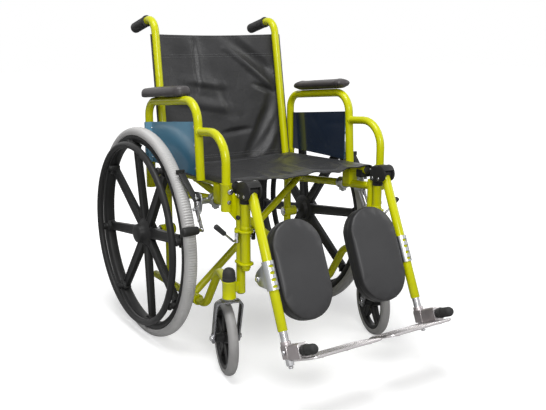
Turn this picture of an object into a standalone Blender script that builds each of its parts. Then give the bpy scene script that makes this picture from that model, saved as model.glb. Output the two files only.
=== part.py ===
"""Folding wheelchair with desk-length arms and elevating legrests that swing away.

Metres, +Z up. The chair faces -Y and its left side is +X. The floor is Z = 0 and the origin lies on the
floor under the middle of the chair's overall box. Sizes below are measured from the rear axle line, and the
empty named wheelchair shifts the whole chair along Y.
"""

from math import atan2, cos, pi, radians, sin, tan

import bmesh
import bpy
from mathutils import Matrix, Quaternion, Vector

# Clearances
TOUCH_GAP = 0.0003
ROUND_GAP = 0.0006
WELD = 0.00001
CUTTING_SCALE = 100

# Stance: distances from the chair's middle plane, and places along it
FRAME_HALF = 0.212
CANE_HALF = FRAME_HALF - 0.007
ARM_HALF = FRAME_HALF + 0.035
WHEEL_HALF = FRAME_HALF + 0.078
HANDRIM_HALF = WHEEL_HALF + 0.036
CASTER_HALF = FRAME_HALF + 0.038
FRONT_POST_Y = -0.411
CASTER_Y = -0.417
BRACE_Y = -0.150

# Side frame
TUBE_RADIUS = 0.0115
RAIL_RADIUS = TUBE_RADIUS - 0.0005
LOWER_RAIL_Z = 0.137
UPPER_RAIL_REAR_Z = 0.420
UPPER_RAIL_FRONT_Z = 0.458
REAR_STUB_Y = 0.105
LOWER_BEND_Y = -0.222
HOUSING_RAIL_Y = -0.300
HOUSING_RAIL_Z = 0.257
FRONT_POST_BOTTOM = 0.229
FRONT_POST_TOP = 0.476
CANE_BEND_Z = 0.420
RECLINE = radians(8.5)
HANDLE_Z = 0.915
HANDLE_DIP = radians(13)
HANDLE_LENGTH = 0.139
HANDLE_BEND = 0.040
GRIP_LENGTH = 0.095
GRIP_RADIUS = 0.0155
AXLE_SLEEVE_RADIUS = 0.016
AXLE_SLEEVE_END = FRAME_HALF + 0.028

# Rear wheels
WHEEL_RADIUS = 0.305
TYRE_WIDTH = 0.034
TYRE_DEPTH = 0.023
RIM_DEPTH = 0.020
WHEEL_STEPS = 32
SPOKE_COUNT = 8
SPOKE_PHASE = radians(37.5)
SPOKE_ROOT = 0.019
SPOKE_TIP = 0.013
HUB_RADIUS = 0.034
HUB_INNER = WHEEL_HALF - 0.031
HUB_OUTER = WHEEL_HALF + 0.012
AXLE_RADIUS = 0.006
HANDRIM_RADIUS = WHEEL_RADIUS - 0.048
HANDRIM_TUBE = 0.0095
LUG_RADIUS = 0.008

# Casters
CASTER_RADIUS = 0.100
CASTER_TRAIL = 0.0445
CASTER_TURN = radians(-16.6)
CASTER_TYRE_WIDTH = 0.026
CASTER_TYRE_DEPTH = 0.0175
CASTER_RIM_DEPTH = 0.012
CASTER_STEPS = 20
CASTER_SPOKES = 5
CASTER_HUB_HALF = 0.0285
FORK_HALF = 0.0355
FORK_BOSS_HALF = 0.0367
FORK_STRAP = 0.005
FORK_WIDTH = 0.028
FORK_TOP = 0.214
FORK_SHOULDER = 0.012
HOUSING_RADIUS = 0.0175
HOUSING_BOTTOM = 0.222
HOUSING_TOP = 0.268
CAP_TOP = 0.302
STEM_RADIUS = 0.008

# Cross brace, seat rails and upholstery
BRACE_RADIUS = 0.0105
BRACE_SPREAD = 0.013
SEAT_RAIL_REAR_Z = 0.4835
TILT = radians(2.4)
SEAT_RAIL_FRONT = -0.390
SEAT_RAIL_REAR = -0.014
SADDLE_YS = (-0.315, -0.065)
SADDLE_WIDTH = 0.030
SADDLE_LENGTH = 0.032
PIVOT_BOLT_RADIUS = 0.004
SLING_THICK = 0.0028
SLING_COLUMNS = 22
SEAT_SAG = 0.018
SEAT_HEM_DROP = 0.014
BACK_BOTTOM = 0.494
BACK_TOP = 0.866
BACK_BULGE = 0.012

# Arms
ARM_REAR_Y = 0.037
ARM_FRONT_Y = -0.403
ARM_TOP_Z = 0.681
ARM_TILT = radians(5.1)
ARM_BEND_Y = -0.258
ARM_LEG_Y = -0.271
ARM_LEG_BOTTOM = 0.499
DESK_TUBE_Z = 0.624
DESK_CORNER_Z = 0.636
SOCKET_RADIUS = 0.0138
SOCKET_DEPTH = 0.012
FRONT_SOCKET = (0.443, 0.512)
REAR_SOCKET = (0.430, 0.503)
PAD_LENGTH = 0.240
PAD_WIDTH = 0.052
PAD_THICK = 0.027
LEFT_PAD_Y = -0.125
RIGHT_PAD_Y = -0.073
PANEL_BOTTOM = 0.5065
PANEL_TOP = 0.6235
PANEL_RISE = 0.0985
PANEL_THICK = 0.0025

# Brake
BRAKE_Y = 0.021 - WHEEL_RADIUS
CLAMP_RADIUS = 0.0165
CLAMP_LENGTH = 0.026
BRAKE_PLATE_X = FRAME_HALF + 0.054
LEVER_PIVOT = (BRAKE_Y - 0.004, 0.428)
SHOE_PIVOT = (BRAKE_Y - 0.016, 0.458)
SHOE_TIP = (BRAKE_Y + 0.051, 0.520)
GRIP_CENTRE = (BRAKE_Y - 0.033, 0.380)
BRAKE_GRIP = (FRAME_HALF + 0.069, FRAME_HALF + 0.115)
BRAKE_GRIP_RADIUS = 0.0108

# Legrests
HANGER_Y = -0.436
HANGER_RADIUS = 0.012
HANGER_BOTTOM = 0.298
HANGER_TOP = 0.497
LUG_HEIGHTS = (0.311, 0.394)
LUG_THICK = 0.005
PIVOT_Y = -0.464
PIVOT_Z = 0.499
LEG_ANGLE = radians(23.8)
LEG_RADIUS = 0.012
LEG_LENGTH = 0.340
FOOT_TUBE_RADIUS = 0.0095
FOOT_TUBE_END = 0.421
FOOT_TUBE_TOP = 0.235
COVER_HALF = 0.0215
COVER_RADIUS = 0.0205
SLOT_HALF = 0.013
HINGE_DROP = 0.389
BLOCK_HALF = 0.012
BLOCK_HEIGHT = 0.032
BLOCK_FRONT = 0.016
HOUSING_END = 0.080
HOUSING_HALF = 0.010
FLANGE_RADIUS = 0.015
SPINDLE_RADIUS = 0.004
PLATE_OFFSET = 0.017
PLATE_THICK = 0.0055
PLATE_INNER_X = 0.008
PLATE_FRONT = 0.112
PLATE_LIP = 0.003
BUMPER_RADIUS = 0.0125
BUMPER_START = 0.0865
BUMPER_END = 0.119
CALF_WIDTH = 0.150
CALF_LENGTH = 0.252
CALF_THICK = 0.046
CALF_MIDDLE_X = 0.1205
CALF_DROP = 0.205
CALF_FACE = -0.014
CALF_BOLT_BACK = 0.060
CALF_BOLT_DROP = 0.207
BAND_TOP = 0.172
BAND_BOTTOM = 0.242
RELEASE_Z = 0.371
RELEASE_PIVOT = (FRAME_HALF + 0.018, -0.424)

# Reaches of the whole chair, from the rear axle line
FRONT_REACH = -PIVOT_Y + (HINGE_DROP + BUMPER_RADIUS) * sin(LEG_ANGLE) + BUMPER_END * cos(LEG_ANGLE)
AXLE_Y = (FRONT_REACH - WHEEL_RADIUS) / 2

# Colours as linear red, green and blue
LIME = (0.55, 0.62, 0.008)
CHARCOAL = (0.045, 0.045, 0.048)
BLACK = (0.018, 0.018, 0.020)
TYRE_GREY = (0.46, 0.45, 0.43)
PANEL_BLUE = (0.12, 0.25, 0.36)
CHROME = (0.62, 0.62, 0.64)
ALUMINIUM = (0.50, 0.49, 0.49)


def clear_scene():
    for obj in list(bpy.data.objects):
        bpy.data.objects.remove(obj)


def new_collection(name):
    collection = bpy.data.collections.new(name)
    bpy.context.scene.collection.children.link(collection)
    return collection


def new_material(name, colour, roughness, metallic=0.0):
    material = bpy.data.materials.new(name)
    material.use_nodes = True
    shader = material.node_tree.nodes["Principled BSDF"]
    shader.inputs["Base Color"].default_value = (*colour, 1)
    shader.inputs["Roughness"].default_value = roughness
    shader.inputs["Metallic"].default_value = metallic
    material.diffuse_color = (*colour, 1)
    return material


clear_scene()
CHAIR = new_collection("folding_wheelchair")
WORKPIECES = new_collection("workpieces")
WORKPIECES.hide_render = True

ROOT = bpy.data.objects.new("wheelchair", None)
ROOT.location.y = AXLE_Y
CHAIR.objects.link(ROOT)


# Shapes


def workpiece(data):
    """A passing object that carries a shape while modifiers act on it."""
    obj = bpy.data.objects.new("workpiece", data)
    WORKPIECES.objects.link(obj)
    return obj


def settle(obj, scale=1.0):
    """The object's finished shape as a welded mesh, brought to scale. The object is removed."""
    bpy.context.view_layer.update()
    graph = bpy.context.evaluated_depsgraph_get()
    mesh = bpy.data.meshes.new_from_object(obj.evaluated_get(graph))
    mesh.transform(Matrix.Scale(scale, 4))
    bpy.data.objects.remove(obj)
    shape = bmesh.new()
    shape.from_mesh(mesh)
    bmesh.ops.remove_doubles(shape, verts=shape.verts, dist=WELD)
    bmesh.ops.recalc_face_normals(shape, faces=shape.faces)
    shape.to_mesh(mesh)
    shape.free()
    return mesh


def mesh_from(shape):
    mesh = bpy.data.meshes.new("shape")
    shape.to_mesh(mesh)
    shape.free()
    return mesh


def placed(mesh, matrix):
    mesh.transform(matrix)
    return mesh


def moved(mesh, x=0.0, y=0.0, z=0.0):
    return placed(mesh, Matrix.Translation((x, y, z)))


def mirrored(mesh):
    """The mesh reflected in the chair's middle plane."""
    mesh.transform(Matrix.Scale(-1, 4, (1, 0, 0)))
    mesh.flip_normals()
    return mesh


def along_x(mesh):
    """Turns a shape made about Z so that its axis is X."""
    return placed(mesh, Matrix.Rotation(radians(90), 4, "Y"))


def facing_x(mesh):
    """Turns a plate drawn with (along Y, up Z) as its (x, y) so that it stands in the YZ plane."""
    return placed(mesh, Matrix(((0, 0, 1, 0), (1, 0, 0, 0), (0, 1, 0, 0), (0, 0, 0, 1))))


def facing_y(mesh):
    """Turns a plate drawn with (across X, up Z) as its (x, y) so that it stands in the XZ plane."""
    return placed(mesh, Matrix.Rotation(radians(90), 4, "X"))


def box(low, high, bevel=0.0, segments=1):
    """A box between two corners, with its edges bevelled."""
    low = Vector(low)
    high = Vector(high)
    shape = bmesh.new()
    size = high - low
    place = Matrix.Translation((low + high) / 2) @ Matrix.Diagonal((*size, 1))
    bmesh.ops.create_cube(shape, size=1, matrix=place)
    if bevel:
        bmesh.ops.bevel(shape, geom=shape.edges, offset=bevel, segments=segments, affect="EDGES", profile=0.5)
    return mesh_from(shape)


def rod(radius, start, end, sides=12, end_radius=None):
    """A cylinder, or a cone, between two points."""
    start = Vector(start)
    end = Vector(end)
    run = end - start
    place = Matrix.Translation((start + end) / 2) @ run.to_track_quat("Z", "Y").to_matrix().to_4x4()
    shape = bmesh.new()
    bmesh.ops.create_cone(
        shape,
        cap_ends=True,
        segments=sides,
        radius1=radius,
        radius2=radius if end_radius is None else end_radius,
        depth=run.length,
        matrix=place,
    )
    return mesh_from(shape)


def rounded_path(corners, bends, steps=3):
    """Straight runs between corner points, with an arc of the given radius at each inner corner."""
    corners = [Vector(corner) for corner in corners]
    points = [corners[0]]
    for before, corner, after, bend in zip(corners, corners[1:], corners[2:], bends):
        back = (before - corner).normalized()
        ahead = (after - corner).normalized()
        half = back.angle(ahead) / 2
        centre = corner + (back + ahead).normalized() * bend / sin(half)
        first = corner + back * bend / tan(half) - centre
        axis = first.cross(corner + ahead * bend / tan(half) - centre).normalized()
        points += [centre + Quaternion(axis, (pi - 2 * half) * step / steps) @ first for step in range(steps + 1)]
    points.append(corners[-1])
    return points


def tube(corners, bends=(), radius=TUBE_RADIUS, resolution=3, steps=3):
    """A bent tube as a bevelled curve with filled caps."""
    points = rounded_path(corners, bends, steps)
    curve = bpy.data.curves.new("tube", "CURVE")
    curve.dimensions = "3D"
    curve.bevel_depth = radius
    curve.bevel_resolution = resolution
    curve.use_fill_caps = True
    spline = curve.splines.new("POLY")
    spline.points.add(len(points) - 1)
    for point, place in zip(spline.points, points):
        point.co = (*place, 1)
    return settle(workpiece(curve))


def plate(outline, thick):
    """A flat outline in XY, thickened evenly about Z = 0."""
    curve = bpy.data.curves.new("plate", "CURVE")
    curve.dimensions = "2D"
    curve.fill_mode = "BOTH"
    curve.extrude = thick / 2
    spline = curve.splines.new("POLY")
    spline.points.add(len(outline) - 1)
    for point, (x, y) in zip(spline.points, outline):
        point.co = (x, y, 0, 1)
    spline.use_cyclic_u = True
    return settle(workpiece(curve))


def turned(profile, steps, ring=False):
    """A profile of (radius, height) turned about Z. A ring profile is closed on itself."""
    mesh = bpy.data.meshes.new("profile")
    edges = [(i, i + 1) for i in range(len(profile) - 1)]
    if ring:
        edges.append((len(profile) - 1, 0))
    mesh.from_pydata([(radius, 0, height) for radius, height in profile], edges, [])
    obj = workpiece(mesh)
    screw = obj.modifiers.new("turn", "SCREW")
    screw.axis = "Z"
    screw.angle = 2 * pi
    screw.steps = steps
    screw.render_steps = steps
    screw.use_merge_vertices = True
    screw.merge_threshold = WELD
    return settle(obj)


def ring_profile(outer, inner, width, shoulder=0.0):
    """The section of a tyre or rim. Its crown is narrower than its sides by the shoulder."""
    half = width / 2
    if not shoulder:
        return [(outer, half), (outer, -half), (inner, -half), (inner, half)]
    return [
        (outer, half - shoulder),
        (outer, shoulder - half),
        (outer - shoulder, -half),
        (inner, -half),
        (inner, half),
        (outer - shoulder, half),
    ]


def combine(base, add=(), cut=()):
    """Joins shapes to a base and then cuts shapes from it, all enlarged so that small edges cut cleanly."""
    enlarge = Matrix.Scale(CUTTING_SCALE, 4)
    body = workpiece(placed(base, enlarge))
    tools = []
    for operation, shapes in (("UNION", add), ("DIFFERENCE", cut)):
        for mesh in shapes:
            tool = workpiece(placed(mesh, enlarge))
            tools.append(tool)
            modifier = body.modifiers.new(operation.lower(), "BOOLEAN")
            modifier.solver = "EXACT"
            modifier.operation = operation
            modifier.object = tool
    mesh = settle(body, 1 / CUTTING_SCALE)
    for tool in tools:
        bpy.data.objects.remove(tool)
    return mesh


def arc(centre, radius, start, end, steps):
    """Points of a flat arc, with its angles in degrees."""
    angles = [radians(start + (end - start) * step / steps) for step in range(steps + 1)]
    return [(centre[0] + radius * cos(angle), centre[1] + radius * sin(angle)) for angle in angles]


def rounded_rectangle(half_width, half_length, radius, steps=5):
    """The outline of a rectangle with round corners, from its middle."""
    points = []
    for across, along, start in ((1, 1, 0), (-1, 1, 90), (-1, -1, 180), (1, -1, 270)):
        centre = (across * (half_width - radius), along * (half_length - radius))
        points += arc(centre, radius, start, start + 90, steps)
    return points


def padded_form(half_width, half_length, radius, layers, steps=4, end_slope=1.0):
    """A stuffed pad: rounded outlines stacked at their heights, each drawn in by its inset and more at the ends."""
    shape = bmesh.new()
    rings = []
    for inset, height in layers:
        outline = rounded_rectangle(half_width - inset, half_length - inset * end_slope, radius - inset, steps)
        rings.append([shape.verts.new((x, y, height)) for x, y in outline])
    for lower, upper in zip(rings, rings[1:]):
        for i, corner in enumerate(lower):
            following = (i + 1) % len(lower)
            shape.faces.new((corner, lower[following], upper[following], upper[i]))
    shape.faces.new(reversed(rings[0]))
    shape.faces.new(rings[-1])
    bmesh.ops.remove_doubles(shape, verts=shape.verts, dist=WELD)
    bmesh.ops.recalc_face_normals(shape, faces=shape.faces)
    return mesh_from(shape)


def shell(columns, rows, place, thick):
    """An open sheet whose point (column, row) is given by a function, thickened on its outer side."""
    shape = bmesh.new()
    bmesh.ops.create_grid(shape, x_segments=columns, y_segments=rows, size=0.5)
    for point in shape.verts:
        point.co = place(point.co.x + 0.5, point.co.y + 0.5)
    obj = workpiece(mesh_from(shape))
    solidify = obj.modifiers.new("thickness", "SOLIDIFY")
    solidify.thickness = thick
    solidify.offset = 1
    solidify.use_even_offset = True
    return settle(obj)


# Objects


def add_part(name, mesh, material, origin=(0, 0, 0)):
    """A named sub-part whose object origin lies on the axis that it moves about."""
    origin = Vector(origin)
    mesh.name = name
    mesh.transform(Matrix.Translation(-origin))
    mesh.materials.clear()
    mesh.materials.append(material)
    mesh.shade_smooth()
    mesh.set_sharp_from_angle(angle=radians(35))
    obj = bpy.data.objects.new(name, mesh)
    obj.parent = ROOT
    obj.location = origin
    CHAIR.objects.link(obj)
    return obj


def add_pair(name, mesh, material, origin=(0, 0, 0)):
    """The left sub-part as it is modelled, and its mirror image on the right."""
    twin = mirrored(mesh.copy())
    x, y, z = origin
    add_part("left_" + name, mesh, material, origin)
    add_part("right_" + name, twin, material, (-x, y, z))


PAINT = new_material("lime_paint", LIME, 0.25)
VINYL = new_material("black_vinyl", CHARCOAL, 0.45)
PLASTIC = new_material("black_plastic", BLACK, 0.4)
RUBBER = new_material("black_rubber", BLACK, 0.7)
TYRE = new_material("grey_tyre", TYRE_GREY, 0.75)
PANEL = new_material("blue_panel", PANEL_BLUE, 0.2)
PLATING = new_material("chrome", CHROME, 0.15, 1.0)
CASTING = new_material("cast_aluminium", ALUMINIUM, 0.4, 1.0)


def frame_point(y, z):
    return (FRAME_HALF, y, z)


def cane_y(z):
    """Where the leaning back cane is at a height."""
    return max(0.0, z - CANE_BEND_Z) * tan(RECLINE)


def cane_x(z):
    """How far from the middle plane the back cane is at a height: the canes draw together towards the handles."""
    return FRAME_HALF + (CANE_HALF - FRAME_HALF) * max(0.0, z - CANE_BEND_Z) / (HANDLE_Z - CANE_BEND_Z)


def seat_rail_z(y):
    return SEAT_RAIL_REAR_Z - y * tan(TILT)


def upper_rail_z(y):
    share = y / FRONT_POST_Y
    return UPPER_RAIL_REAR_Z + (UPPER_RAIL_FRONT_Z - UPPER_RAIL_REAR_Z) * share


HANDLE_CORNER = Vector((CANE_HALF, cane_y(HANDLE_Z), HANDLE_Z))
HANDLE_WAY = Vector((0, cos(HANDLE_DIP), -sin(HANDLE_DIP)))
HANDLE_END = HANDLE_CORNER + HANDLE_WAY * HANDLE_LENGTH
TYRE_INNER = WHEEL_RADIUS - TYRE_DEPTH
AXLE = Vector((WHEEL_HALF, 0, WHEEL_RADIUS))
SWING_AXIS = Vector((FRAME_HALF, HANGER_Y, 0))
LEG_PIVOT = Vector((FRAME_HALF, PIVOT_Y, PIVOT_Z))
LEG_PLACE = Matrix.Translation((0, PIVOT_Y, PIVOT_Z)) @ Matrix.Rotation(-LEG_ANGLE, 4, "X")
BRACE_FOOT = Vector((FRAME_HALF, BRACE_Y, LOWER_RAIL_Z))
BRACE_HEAD = Vector((FRAME_HALF, BRACE_Y, seat_rail_z(BRACE_Y)))


# Side frame: one weldment of bent tubes


def back_post():
    corners = [
        frame_point(0, LOWER_RAIL_Z),
        frame_point(0, CANE_BEND_Z),
        HANDLE_CORNER,
        HANDLE_END,
    ]
    return tube(corners, (0.06, HANDLE_BEND))


def lower_rail():
    corners = [
        frame_point(REAR_STUB_Y, LOWER_RAIL_Z),
        frame_point(LOWER_BEND_Y, LOWER_RAIL_Z),
        frame_point(HOUSING_RAIL_Y, HOUSING_RAIL_Z),
        (CASTER_HALF - 0.003, CASTER_Y + 0.008, HOUSING_RAIL_Z),
    ]
    return tube(corners, (0.045, 0.045), RAIL_RADIUS)


def seat_saddle(y):
    """An upright with a notch on top, in which the seat rail rests when the chair is open."""
    low = (FRAME_HALF - SADDLE_WIDTH / 2, y - SADDLE_LENGTH / 2, upper_rail_z(y))
    high = (FRAME_HALF + SADDLE_WIDTH / 2, y + SADDLE_LENGTH / 2, seat_rail_z(y) - 0.002)
    return box(low, high)


def arm_socket(y, ends):
    return rod(SOCKET_RADIUS, (ARM_HALF, y, ends[0]), (ARM_HALF, y, ends[1]))


def socket_gusset():
    """The web between the front post and the arm socket outside it."""
    outline = [
        (FRAME_HALF, FRONT_POST_TOP - 0.072),
        (ARM_HALF, FRONT_SOCKET[0] + 0.002),
        (ARM_HALF, FRONT_SOCKET[1] - 0.004),
        (FRAME_HALF, FRONT_POST_TOP - 0.006),
    ]
    return moved(facing_y(plate(outline, 0.006)), y=(FRONT_POST_Y + ARM_FRONT_Y) / 2)


def hanger_lug(z):
    """A ring plate on the front post, through which the legrest's hanger tube drops."""
    reach = HANGER_RADIUS + 0.0075
    outline = arc((FRAME_HALF, HANGER_Y), reach, 180, 360, 6)
    outline += arc((FRAME_HALF, FRONT_POST_Y), TUBE_RADIUS + 0.004, 0, 180, 4)
    return moved(plate(outline, LUG_THICK), z=z)


def release_pin():
    """The tab on the upper lug with the headed pin that the swing-away lever turns on."""
    x, y = RELEASE_PIVOT
    lug_z = LUG_HEIGHTS[1]
    bottom = RELEASE_Z - 0.006 - TOUCH_GAP
    return [
        rod(0.007, (x, y, lug_z - 0.0022), (x, y, lug_z + 0.0022), 12),
        rod(0.0025, (x, y, lug_z), (x, y, bottom - 0.002), 12),
        rod(0.0045, (x, y, bottom), (x, y, bottom - 0.003), 6),
    ]


def side_frame():
    front_post = rod(
        TUBE_RADIUS,
        frame_point(FRONT_POST_Y, FRONT_POST_BOTTOM),
        frame_point(FRONT_POST_Y, FRONT_POST_TOP),
        12,
    )
    upper_rail = tube([
        frame_point(0, UPPER_RAIL_REAR_Z),
        frame_point(FRONT_POST_Y, UPPER_RAIL_FRONT_Z),
    ], radius=RAIL_RADIUS)
    housing = rod(
        HOUSING_RADIUS, (CASTER_HALF, CASTER_Y, HOUSING_BOTTOM), (CASTER_HALF, CASTER_Y, HOUSING_TOP), 14
    )
    housing_web = box(
        (FRAME_HALF, FRONT_POST_Y - 0.007, HOUSING_BOTTOM + 0.010),
        (CASTER_HALF, FRONT_POST_Y + 0.001, HOUSING_TOP - 0.006),
    )
    socket_arm = rod(
        0.008,
        frame_point(cane_y(REAR_SOCKET[0] + 0.035), REAR_SOCKET[0] + 0.035),
        (ARM_HALF - 0.004, ARM_REAR_Y - 0.004, REAR_SOCKET[0] + 0.035),
        10,
    )
    sleeve = rod(AXLE_SLEEVE_RADIUS, frame_point(0, WHEEL_RADIUS), (AXLE_SLEEVE_END, 0, WHEEL_RADIUS))
    inner_boss = rod(
        AXLE_SLEEVE_RADIUS, (FRAME_HALF - TUBE_RADIUS - 0.005, 0, WHEEL_RADIUS), frame_point(0, WHEEL_RADIUS)
    )
    joined = [lower_rail(), upper_rail, front_post, housing, housing_web, socket_arm, sleeve, inner_boss]
    joined += [
        arm_socket(ARM_FRONT_Y, FRONT_SOCKET),
        arm_socket(ARM_REAR_Y, REAR_SOCKET),
        socket_gusset(),
    ]
    joined += [seat_saddle(y) for y in SADDLE_YS]
    joined += [hanger_lug(z) for z in LUG_HEIGHTS]
    joined += release_pin()
    bores = [
        rod(
            STEM_RADIUS + ROUND_GAP,
            (CASTER_HALF, CASTER_Y, HOUSING_BOTTOM - 0.022),
            (CASTER_HALF, CASTER_Y, HOUSING_TOP + 0.032),
            10,
        ),
        rod(
            AXLE_RADIUS + ROUND_GAP,
            (FRAME_HALF - 0.032, 0, WHEEL_RADIUS),
            (AXLE_SLEEVE_END + 0.020, 0, WHEEL_RADIUS),
            10,
        ),
        rod(
            TUBE_RADIUS - 0.002,
            frame_point(FRONT_POST_Y, FRONT_POST_BOTTOM - 0.01),
            frame_point(FRONT_POST_Y, FRONT_POST_BOTTOM + 0.015),
            8,
        ),
        rod(
            TUBE_RADIUS + ROUND_GAP,
            frame_point(SEAT_RAIL_FRONT, seat_rail_z(SEAT_RAIL_FRONT)),
            frame_point(SEAT_RAIL_REAR, seat_rail_z(SEAT_RAIL_REAR)),
            12,
        ),
    ]
    bores += [
        rod(
            TUBE_RADIUS + ROUND_GAP,
            (ARM_HALF, y, REAR_SOCKET[0] - 0.02),
            (ARM_HALF, y, FRONT_SOCKET[1] + 0.02),
        )
        for y in (ARM_FRONT_Y, ARM_REAR_Y)
    ]
    bores += [
        rod(
            HANGER_RADIUS + ROUND_GAP,
            frame_point(HANGER_Y, z - LUG_THICK),
            frame_point(HANGER_Y, z + LUG_THICK),
            12,
        )
        for z in LUG_HEIGHTS
    ]
    return combine(back_post(), joined, bores)


def push_grip():
    """A moulded sleeve with finger swells over the end of the push handle."""
    bore = TUBE_RADIUS + TOUCH_GAP
    profile = [(0, GRIP_LENGTH), (GRIP_RADIUS - 0.004, GRIP_LENGTH)]
    swells = 2
    for swell in range(swells):
        top = GRIP_LENGTH - 0.003 - swell * (GRIP_LENGTH - 0.008) / swells
        profile.append((GRIP_RADIUS, top))
        profile.append((GRIP_RADIUS - 0.0015, top - 0.020))
    profile += [(GRIP_RADIUS + 0.001, 0.004), (GRIP_RADIUS + 0.001, 0), (bore, 0)]
    profile += [(bore, GRIP_LENGTH - 0.004), (0, GRIP_LENGTH - 0.004)]
    grip = turned(profile, 14)
    start = HANDLE_END - HANDLE_WAY * (GRIP_LENGTH - 0.004 - TOUCH_GAP)
    way = HANDLE_WAY.to_track_quat("Z", "Y").to_matrix().to_4x4()
    return placed(grip, Matrix.Translation(start) @ way)


def add_side_frames():
    add_pair("side_frame", side_frame(), PAINT)
    add_pair("push_grip", push_grip(), RUBBER)


# Rear wheels


def spoke_angles(count, phase):
    return [phase + 2 * pi * index / count for index in range(count)]


def spoke(angle, inner, outer, root, tip, flatness):
    """A six-sided tapering spoke that reaches from the hub to the rim."""
    beam = rod(root, (0, 0, inner), (0, 0, outer), 6, tip)
    beam.transform(Matrix.Diagonal((flatness, 1, 1, 1)))
    return placed(beam, Matrix.Rotation(angle - pi / 2, 4, "X"))


def rear_wheel():
    rim_outer = TYRE_INNER - TOUCH_GAP
    rim_inner = rim_outer - RIM_DEPTH
    rim = along_x(turned(ring_profile(rim_outer, rim_inner, TYRE_WIDTH - 0.002), WHEEL_STEPS, ring=True))
    hub_in = HUB_INNER - WHEEL_HALF
    hub_out = HUB_OUTER - WHEEL_HALF
    hub = along_x(turned([
        (0, hub_out),
        (0.020, hub_out),
        (HUB_RADIUS, hub_out - 0.010),
        (HUB_RADIUS, -0.012),
        (0.021, hub_in + 0.006),
        (0.021, hub_in),
        (0, hub_in),
    ], 14))
    angles = spoke_angles(SPOKE_COUNT, SPOKE_PHASE)
    spokes = [spoke(angle, 0.026, rim_inner + 0.008, SPOKE_ROOT, SPOKE_TIP, 0.55) for angle in angles]
    lug_end = HANDRIM_HALF - HANDRIM_TUBE * cos(radians(18)) - TOUCH_GAP - WHEEL_HALF
    lug_height = HANDRIM_RADIUS + 0.003
    lugs = [
        placed(
            rod(LUG_RADIUS + 0.003, (0, 0, lug_height), (lug_end, 0, lug_height), 6, LUG_RADIUS),
            Matrix.Rotation(angle - pi / 2, 4, "X"),
        )
        for angle in angles
    ]
    bore = rod(AXLE_RADIUS + ROUND_GAP, (-0.05, 0, 0), (0.05, 0, 0), 10)
    return placed(combine(rim, [hub] + spokes + lugs, [bore]), Matrix.Translation(AXLE))


def handrim():
    section = [
        (HANDRIM_RADIUS + x, y) for x, y in arc((0, 0), HANDRIM_TUBE, 288, 0, 4)
    ]
    return moved(along_x(turned(section, WHEEL_STEPS, ring=True)), HANDRIM_HALF, 0, WHEEL_RADIUS)


def rear_axle():
    """The axle bolt with its nut against the sleeve, a cover cap outside and a washer inside."""
    inner_end = FRAME_HALF - TUBE_RADIUS - 0.005 - TOUCH_GAP
    shaft = rod(AXLE_RADIUS, (inner_end - 0.004, 0, 0), (HUB_OUTER + 0.004, 0, 0))
    nut = rod(0.011, (AXLE_SLEEVE_END + TOUCH_GAP, 0, 0), (HUB_INNER - 2 * TOUCH_GAP, 0, 0), 6)
    cap = rod(0.013, (HUB_OUTER + TOUCH_GAP, 0, 0), (HUB_OUTER + 0.006, 0, 0), 16, 0.010)
    washer = rod(0.012, (inner_end - 0.004, 0, 0), (inner_end, 0, 0), 6)
    return moved(combine(shaft, [nut, cap, washer]), z=WHEEL_RADIUS)


def add_rear_wheels():
    tyre_profile = ring_profile(WHEEL_RADIUS, TYRE_INNER, TYRE_WIDTH, 0.010)
    tyre = placed(along_x(turned(tyre_profile, WHEEL_STEPS, ring=True)), Matrix.Translation(AXLE))
    add_pair("rear_wheel", rear_wheel(), PLASTIC, AXLE)
    add_pair("rear_tyre", tyre, TYRE, AXLE)
    add_pair("handrim", handrim(), PLASTIC, AXLE)
    add_pair("rear_axle", rear_axle(), PLATING)


# Casters, modelled about the swivel axis with the wheel trailing towards +Y


def fork():
    middle = FORK_HALF - FORK_STRAP / 2
    path = rounded_path(
        [(-middle, CASTER_RADIUS, 0), (-middle, FORK_TOP, 0), (middle, FORK_TOP, 0), (middle, CASTER_RADIUS, 0)],
        (FORK_SHOULDER, FORK_SHOULDER),
        3,
    )
    half = FORK_STRAP / 2
    outer = []
    inner = []
    for index, point in enumerate(path):
        ahead = path[min(index + 1, len(path) - 1)] - path[max(index - 1, 0)]
        side = Vector((-ahead.y, ahead.x, 0)).normalized() * half
        outer.append((point.x + side.x, point.y + side.y))
        inner.append((point.x - side.x, point.y - side.y))
    strap = facing_y(plate(outer + inner[::-1], FORK_WIDTH))
    lean = CASTER_TRAIL / (FORK_TOP - CASTER_RADIUS)
    shear = Matrix.Identity(4)
    shear[1][2] = -lean
    shear[1][3] = lean * FORK_TOP
    strap = placed(strap, shear)
    bosses = [
        rod(
            FORK_WIDTH / 2,
            (side * FORK_BOSS_HALF, CASTER_TRAIL, CASTER_RADIUS),
            (side * (FORK_HALF - FORK_STRAP - 0.0008), CASTER_TRAIL, CASTER_RADIUS),
            10,
        )
        for side in (-1, 1)
    ]
    stem = rod(STEM_RADIUS, (0, 0, FORK_TOP - 0.002), (0, 0, HOUSING_TOP - 0.004))
    race = rod(0.015, (0, 0, FORK_TOP), (0, 0, HOUSING_BOTTOM - TOUCH_GAP), 16)
    bore = rod(
        PIVOT_BOLT_RADIUS + ROUND_GAP,
        (-0.05, CASTER_TRAIL, CASTER_RADIUS),
        (0.05, CASTER_TRAIL, CASTER_RADIUS),
    )
    return combine(strap, bosses + [race, stem], [bore])


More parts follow.
